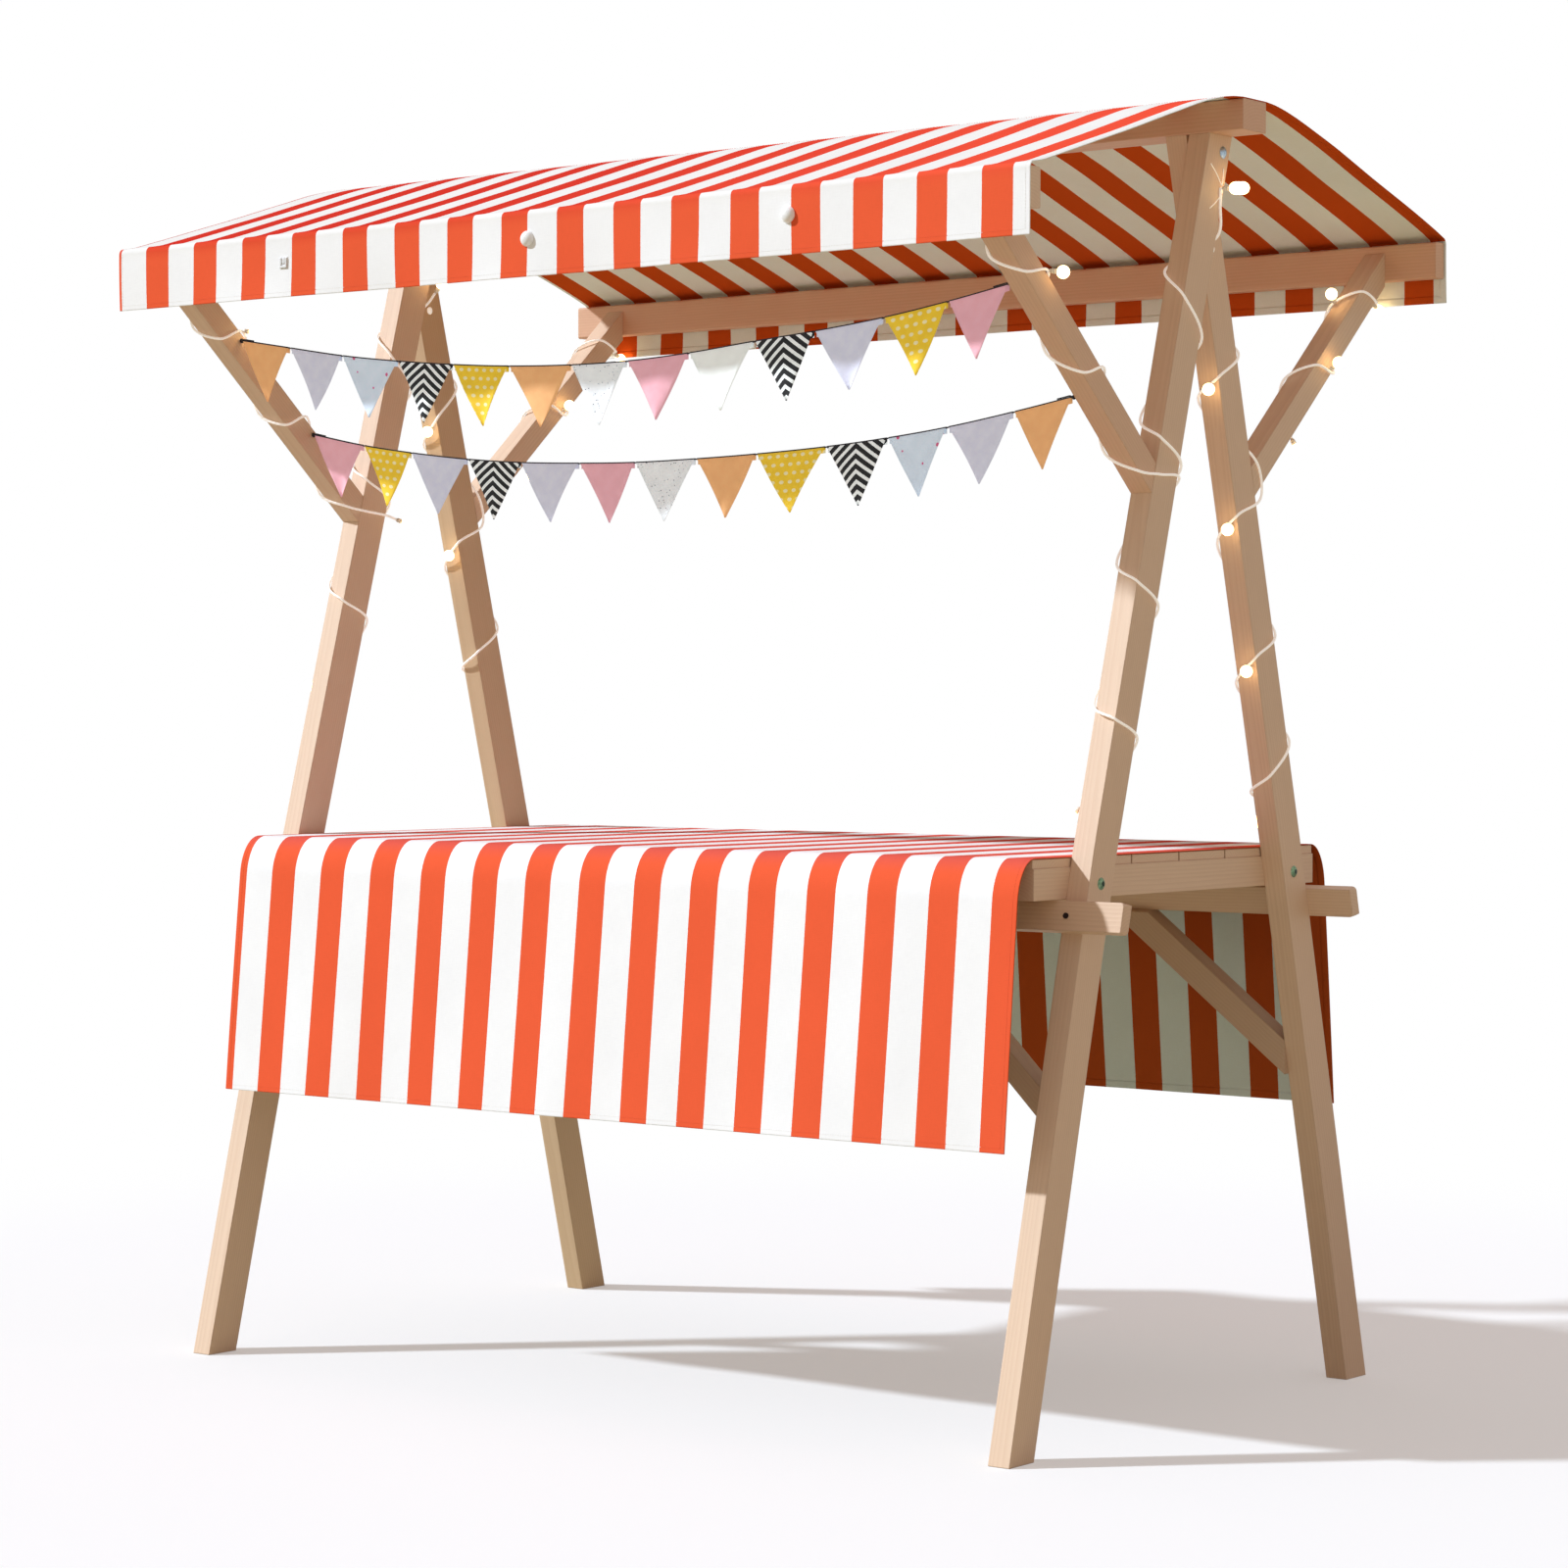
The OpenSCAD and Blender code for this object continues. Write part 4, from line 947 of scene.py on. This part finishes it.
class Canvas:
    """A sheet laid over a line in the Y-Z plane and running along X, in metres.

    Its panels, from the front, are (where along the cloth each one ends, its stripes)."""

    def __init__(self, line, ends, thick, ripple, panels):
        self.line = [(y * MM, (z - thick / 2) * MM) for y, z in line]
        self.left, self.right = (x * MM for x in ends)
        self.ripple, self.along, self.panels = ripple, [0.0], panels
        for a, b in zip(self.line, self.line[1:]):
            self.along.append(self.along[-1] + math.dist(a, b))
        self.half = self.along[-1]

    def spot(self, x, v, lift=0.0):
        """The point x along the stall and v along the cloth from its middle, and the way out."""
        far = abs(v)
        k = min(max(bisect_right(self.along, far) - 1, 0), len(self.line) - 2)
        a, b = self.line[k], self.line[k + 1]
        t = (far - self.along[k]) / (self.along[k + 1] - self.along[k])
        ways = []
        for i in (k, k + 1):
            p, q = self.line[max(i - 1, 0)], self.line[min(i + 1, len(self.line) - 1)]
            d = math.dist(p, q)
            ways.append((-(q[1] - p[1]) / d, (q[0] - p[0]) / d))
        s = min(max(t, 0), 1)
        out = Vector((0, ways[0][0] * (1 - s) + ways[1][0] * s,
                      ways[0][1] * (1 - s) + ways[1][1] * s)).normalized()
        p = Vector((x, a[0] + (b[0] - a[0]) * t, a[1] + (b[1] - a[1]) * t))
        if v < 0:
            p.y, out.y = -p.y, -out.y
        return p + out * (lift + self.ripple(x, v)), out

    def steps(self, longest=0.014):
        """Lengths along the cloth, closer together where it bends."""
        half = [0.0]
        for a, b in zip(self.along, self.along[1:]):
            half += spaced(a, b, longest)[1:]
        return [-v for v in reversed(half[1:])] + half

    def start(self, v):
        """Where an orange band starts in the panel that is v along the cloth."""
        return next(stripes[0] for end, stripes in self.panels if v <= end) * MM

    def colour(self, x, v):
        width, pitch = (s * MM for s in self.panels[0][1][1:])
        return "orange" if (x - self.start(v)) % pitch < width else "white"

    def grid(self, name, xs, vs, finishes, lift_x=None, lift_v=None):
        """A piece of the cloth over these lengths, with a lift for each x or each v, or none.

        Of two finishes, the second, the inside's with its painted shade, is for what lies well
        under the cloth and for the hem's turn round its edge."""
        points, faces, uvs, picks = [], [], [], []
        for i, x in enumerate(xs):
            for j, v in enumerate(vs):
                up = lift_x[i] if lift_x else lift_v[j] if lift_v else 0
                points.append(self.spot(x, v, up)[0])
        wide = len(vs)
        for i in range(len(xs) - 1):
            for j in range(wide - 1):
                a = i * wide + j
                faces.append((a, a + wide, a + wide + 1, a + 1))
                start = self.start((vs[j] + vs[j + 1]) / 2)
                uvs.append([(xs[m] - start, vs[n]) for m, n in
                            ((i, j), (i + 1, j), (i + 1, j + 1), (i, j + 1))])
                high = max(lift_x[i:i + 2] if lift_x else lift_v[j:j + 2] if lift_v else [0])
                # The hem's turn round the edge takes the inside finish too, painting shade on the
                # rim
                picks.append(int(high < -0.0001 or 0 < high < 0.00015))
        return make_piece(name, points, faces, finishes, uvs, picks)


# A hem turned in under an edge: (metres in from the edge, lift off the cloth)
TURN_IN = [(0.0125, -0.00020), (0.009, -0.0006), (0.006, -0.00072), (0.0004, -0.00072),
           (-0.00025, -0.00062), (-0.00045, -0.00026), (-0.00025, 0.0001), (0.0, 0.0002)]
CLOTH_THICK, HEM_THICK, CLOTH_STEP = 0.0009, 0.0005, 0.0145
# A narrow strip along each edge keeps the shading of the edge from spreading inwards
EDGE_STRIP = 0.0008
# Stitches: how far in from the edge, from one to the next, how high, and how they vary
STITCH_ROW, STITCH_PITCH, STITCH_Z, STITCH_SPREAD = 0.0075, 0.0048, CLOTH_THICK / 2 + 0.0001, 0.06
STITCH_PROFILE = [(0, 0), (0.32, 0.4), (0.36, 1.6), (0.32, 2.8), (0, 3.2)]


def join(name, parts):
    """One piece of several."""
    with bpy.context.temp_override(active_object=parts[0], selected_editable_objects=parts):
        bpy.ops.object.join()
    parts[0].name = parts[0].data.name = name
    return parts[0]


def sew_hems(name, cloth, xs, vs, finishes):
    """The hems on all four sides. Each path runs so that its outer side faces off the cloth."""
    hems = []
    for end, sign in ((cloth.left, 1), (cloth.right, -1)):
        places, lifts = zip(*[(end + sign * far, lift) for far, lift in TURN_IN][::sign])
        hems.append(cloth.grid("hem", places, vs, finishes, lift_x=lifts))
    for sign in (-1, 1):
        places, lifts = zip(*[(sign * (cloth.half - far), lift) for far, lift in TURN_IN][::-sign])
        hems.append(cloth.grid("hem", xs, places, finishes, lift_v=lifts))
    return thicken(join(name, hems), HEM_THICK)


def sew_stitches(name, cloth, seams):
    """Stitches along the four edges and the seams, in thread of the stripe that they are on."""
    across, along = (spaced(low + STITCH_ROW, high - STITCH_ROW, STITCH_PITCH) for low, high in
                     ((cloth.left, cloth.right), (-cloth.half, cloth.half)))
    rows = [[(x, v) for x in across]
            for v in (STITCH_ROW - cloth.half, *seams, cloth.half - STITCH_ROW)]
    rows += [[(x, v) for v in along] for x in (cloth.left + STITCH_ROW, cloth.right - STITCH_ROW)]
    spots = {colour: [] for colour in THREADS}
    for line in rows:
        for (x, v), after in zip(line, line[1:]):
            p, out = cloth.spot(x, v, STITCH_Z)
            spots[cloth.colour(x, v)].append((p, cloth.spot(*after, STITCH_Z)[0] - p, out))
    return [copies(f"{name}_{colour}", spots[colour], STITCH_PROFILE, 5, thread, STITCH_SPREAD, 7)
            for colour, thread in THREADS.items()]


def hang_canvas(name, cloth, finishes, slot, node, seams=()):
    """The sheet itself, its hems turned in on all four sides, and their stitching."""
    xs = [cloth.left, *spaced(cloth.left + EDGE_STRIP, cloth.right - EDGE_STRIP, CLOTH_STEP),
          cloth.right]
    vs = cloth.steps()
    vs[1:1], vs[-1:-1] = [EDGE_STRIP - cloth.half], [cloth.half - EDGE_STRIP]
    sheet = thicken(cloth.grid(name, xs, vs, finishes), CLOTH_THICK, 1)
    sewn = [sew_hems(name + "_hems", cloth, xs, vs, finishes),
            *sew_stitches(name + "_stitches", cloth, seams)]
    settle(sheet, slot, node)
    for piece in sewn:
        settle(piece, slot)
    2 * cloth.half


# How far the front slope hangs under the rear one: (millimetres along the cloth, how far)
FRONT_SLACK = monotone([(0, 0), (140, 0), (240, 3.7), (300, 4.9), (425, 6.0), (520, 7.2),
                        (600, 6.2), (650, 0), (900, 0)], 90)


def canopy_ripple(x, v):
    """Slack of the canopy: faint on the roof, none on the beams, more in the valance."""
    far, side = abs(v), 3.7 if v < 0 else 11.3
    free = max(0.0, math.sin(math.pi * share_of(far, 0.06, 0.61)))
    hang = share_of(far, 0.655, 0.745)
    roof = noise.noise(Vector((x * 4.2, v * 1.3, side))) * 0.0022 * free
    skirt = noise.noise(Vector((x * 5.5, side, far * 2.0))) * 0.0055 * hang * hang
    return roof + skirt - (between(FRONT_SLACK, far / MM) * MM if v < 0 else 0)


def cloth_ripple(x, v):
    """Slack of the tablecloth: none on the boards, soft upright folds towards the hem."""
    far, side = abs(v), 5.1 if v < 0 else 8.9
    fold = noise.noise(Vector((x * 3.4, side, far * 0.9)))
    fine = noise.noise(Vector((x * 9.5, side + 4, far * 1.4)))
    return (fold * 0.009 + fine * 0.0022) * share_of(far, 0.47, 0.87) ** 1.3


def two_sides(name, stripes, top, inside):
    """The canvas's outside, with its top, and its inside, each with its own white and orange. The
    inside's darker, tinted colours are painted shade and bounce.
    """
    return [canvas_finish(name, stripes, (0.945, 0.955, 0.970), (0.865, 0.122, 0.048), top),
            canvas_finish(name + "_inside", stripes, *inside)]


# The canopy is sewn from two slopes and a rear skirt, seamed at the ridge and the rear eave
RIDGE_SEAM, REAR_SEAM, SEAM_HALF, LAST = -0.09, 0.64, 0.005, math.inf
hang_canvas("canopy_canvas",
            Canvas(canopy_line(), CANOPY_X, SHEET_T, canopy_ripple,
                   [(RIDGE_SEAM, FRONT_STRIPES), (REAR_SEAM, REAR_STRIPES),
                    (LAST, REAR_SKIRT_STRIPES)]),
            two_sides("canopy_canvas", FRONT_STRIPES,
                      (0.645, (0.800, 0.785, 0.750), (0.620, 0.036, 0.022),
                       (0.810, 0.083, 0.043)),
                      # The inside's greenish white and dark orange paint the shade and bounce under
                      # the canopy
                      ((0.860, 0.940, 0.920), (0.600, 0.090, 0.014))),
            "canopy_cloth", "canopy",
            [seam + side for seam in (RIDGE_SEAM, REAR_SEAM) for side in (-SEAM_HALF, SEAM_HALF)])
hang_canvas("table_canvas",
            Canvas(cloth_line(), CLOTH_X, SHEET_T, cloth_ripple, [(LAST, TABLE_STRIPES)]),
            two_sides("table_canvas", TABLE_STRIPES,
                      (0.435, (0.880, 0.860, 0.870), (0.720, 0.110, 0.080),
                       (0.720, 0.110, 0.080)),
                      # The inside's bluish white and dark orange paint the shade and bounce under
                      # the table
                      ((0.750, 0.920, 0.990), (0.490, 0.097, 0.023))),
            "table_cloth", "tablecloth")


# Small fittings
# A snap button has a rolled rim and a low polished dome
SNAP_PROFILE = [(0, 0), (11.6, 0), (12.6, 0.6), (12.8, 1.6), (12.5, 2.6), (12.2, 3.0), (11.6, 4.2),
                (10.4, 6.0), (8.2, 7.9), (5.4, 9.2), (2.6, 9.8), (0, 10.0)]


def fit_buttons():
    """Snap buttons on the valances."""
    spots = [(Vector((x, run * (CANOPY_EDGE + HEAD_GAP), BUTTON_Z)) * MM, Vector((0, run, 0)),
              Vector((1, 0, 0))) for x in BUTTON_X for run in (FRONT, REAR)]
    settle(copies("snap_buttons", spots, SNAP_PROFILE, 32, SNAP_WHITE), "steel",
           "valance_buttons")


fit_buttons()

# The clip's plate, sides, foot and tongue: where across and up, how wide and high, how far out
CLIP_BLOCKS = [(0, 0, 19, 21, 2.2), (-6.2, 1.5, 3.6, 14, 4.4), (6.2, 1.5, 3.6, 14, 4.4),
               (0, -6.4, 16, 3.6, 4.4), (0, 3.5, 4.4, 9.5, 3.6)]
BLOCK_FACES = ((0, 2, 3, 1), (4, 5, 7, 6), (0, 1, 5, 4), (2, 6, 7, 3), (0, 4, 6, 2), (1, 3, 7, 5))


def fit_clip():
    """A small moulded clip on the front valance: a plate, a raised loop and the tongue in it."""
    middle = Vector((-543.3, -CANOPY_EDGE + 0.7, 1854))
    points, faces = [], []
    for x, z, wide, high, out in CLIP_BLOCKS:
        faces += [tuple(len(points) + k for k in face) for face in BLOCK_FACES]
        points += [(middle + Vector((x + a * wide / 2, -b, z + c * high / 2))) * MM
                   for b in (0, out) for c in (-1, 1) for a in (-1, 1)]
    clip = make_piece("valance_clip", points, faces, [CLIP_GREY], smooth=False)
    edges = clip.modifiers.new("eased", "BEVEL")
    edges.width, edges.segments = 0.0006, 3
    settle(clip, "steel")


fit_clip()

# Timber
LEVEL_TIMBERS = ["ridge_beam", "front_eave_beam", "rear_eave_beam", "end_apron_right",
                 "end_apron_left", "front_apron", "rear_apron", "table_battens", "table_boards",
                 "front_rail", "rear_rail"]
# Timbers painted darker and redder than the rest, as shade under the table and the canopy and as
# the canopy's orange bounce
SHADE_TONES = {"leg_rear_left": (0.84, 0.82, 0.71), "ridge_beam": (0.94, 0.79, 0.73),
         "rear_eave_beam": (0.97, 0.80, 0.72), "strut_front_right": (0.96, 0.87, 0.82),
         "front_rail": (0.95, 0.91, 0.88)}
PLAIN_TONE, BRACE_SHADE_TONE = (1.0, 1.0, 1.0), (0.77, 0.75, 0.73)
BOARD_PITCH = 0.1376


def set_finish(node, finish):
    NODES[node].data.materials.clear()
    NODES[node].data.materials.append(finish)


def finish_timber():
    """Each timber gets pine whose grain runs along it."""
    ways = {node: (0, 1, 0) if "end" in node or "battens" in node else (1, 0, 0)
            for node in LEVEL_TIMBERS}
    for run, where in ((FRONT, "front"), (REAR, "rear")):
        for side, end in ((RIGHT, "right"), (LEFT, "left")):
            brace = math.radians(BRACE_ANGLES[run])
            ways[f"leg_{where}_{end}"] = (0, -run * math.sin(LEAN), math.cos(LEAN))
            ways[f"strut_{where}_{end}"] = (0, run * math.cos(STRUT_ANGLE), math.sin(STRUT_ANGLE))
            ways[f"knee_brace_{where}_{end}"] = (-side * math.cos(brace), 0, math.sin(brace))
    for seed, (node, way) in enumerate(ways.items(), 1):
        low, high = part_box(node)
        boards = BOARD_PITCH if node == "table_boards" else 0.0
        # Some timbers take a darker, redder tone that paints their shade
        tone = BRACE_SHADE_TONE if "knee" in node else SHADE_TONES.get(node, PLAIN_TONE)
        set_finish(node, pine_finish(node, way, (low + high) / 2, seed, boards, tone))


finish_timber()
for metal_node, metal in (("leg_bolts", BLUED), ("table_bolts", ZINC), ("rail_screws", DARK_STEEL),
                          ("bunting_ties", DARK_STEEL)):
    set_finish(metal_node, metal)

PLUG_PROFILE, PLUG_Z = [(0, 0), (6.6, 0), (6.8, 0.5), (6.2, 1.1), (3.4, 1.5), (0, 1.6)], 1843


def fit_plugs():
    """Pale wooden plugs over the screws at the tops of the rear legs."""
    spots = [(Vector((leg_x(side) + LEG_T + drift(REAR, PLUG_Z), leg_mid(PLUG_Z), PLUG_Z)) * MM,
              Vector((1, 0, 0)), Vector((0, 0, 1))) for side in (LEFT, RIGHT)]
    settle(copies("leg_plugs", spots, PLUG_PROFILE, 24, plug_finish("pale_plug")), "pine")


fit_plugs()


# Studio
def seen_rays(tree):
    """1 for a ray that shows the background, straight or in metal or glass."""
    path = add_node(tree, "ShaderNodeLightPath").outputs
    return Amount(tree, path["Is Camera Ray"]).most(
        Amount(tree, path["Is Glossy Ray"])).most(Amount(tree, path["Is Transmission Ray"]))


def lay_floor():
    """A pale floor that keeps the stall's shadow and fades to white. Its bounce is warm."""
    f = Finish("studio_floor")
    x, y, _ = f.parts(f.where())
    far = x.span(y).ease(1.6, 3.6)
    seen = seen_rays(f.tree)
    colour = f.blend(seen, (0.50, 0.44, 0.28), (0.92, 0.92, 0.92))
    matt = f.node("ShaderNodeBsdfDiffuse", sockets={"Color": colour})
    white = f.node("ShaderNodeEmission", sockets={"Color": (1, 1, 1, 1), "Strength": 1.0})
    mixed = f.node("ShaderNodeMixShader", sockets={
        0: far.ease(0, 1, 0.3, 1.0) * seen, 1: matt.outputs[0], 2: white.outputs[0]})
    f.node("ShaderNodeOutputMaterial", sockets={"Surface": mixed.outputs[0]})
    half, under = 40, -0.0005
    corners = [(x * half, y * half, under) for x, y in ((-1, -1), (1, -1), (1, 1), (-1, 1))]
    make_piece("floor", corners, [(0, 1, 2, 3)], [f.material])


def set_lights():
    """Soft light all round, seen as white, and one broad lamp from the left."""
    world = bpy.data.worlds.new("studio")
    bpy.context.scene.world = world
    world.use_nodes = True
    tree = world.node_tree
    tree.nodes.clear()
    around, behind = (add_node(tree, "ShaderNodeBackground", sockets={
        "Color": colour, "Strength": strength}) for colour, strength in
        (((1.0, 0.830, 0.770, 1), 0.465), ((1, 1, 1, 1), 1.0)))
    both = add_node(tree, "ShaderNodeMixShader", sockets={
        0: seen_rays(tree), 1: around.outputs[0], 2: behind.outputs[0]})
    add_node(tree, "ShaderNodeOutputWorld", sockets={"Surface": both.outputs[0]})
    lamp = placed("key_lamp", bpy.data.lights.new("key_lamp", "SUN"))
    lamp.data.energy, lamp.data.angle = 3.87, math.radians(3)
    lamp.data.color = (0.81, 0.905, 1.0)
    lamp.matrix_world = Vector((-1.27, -1.0, 1.18)).to_track_quat("Z", "Y").to_matrix().to_4x4()


lay_floor()
set_lights()
bpy.context.scene.view_settings.view_transform = "Standard"
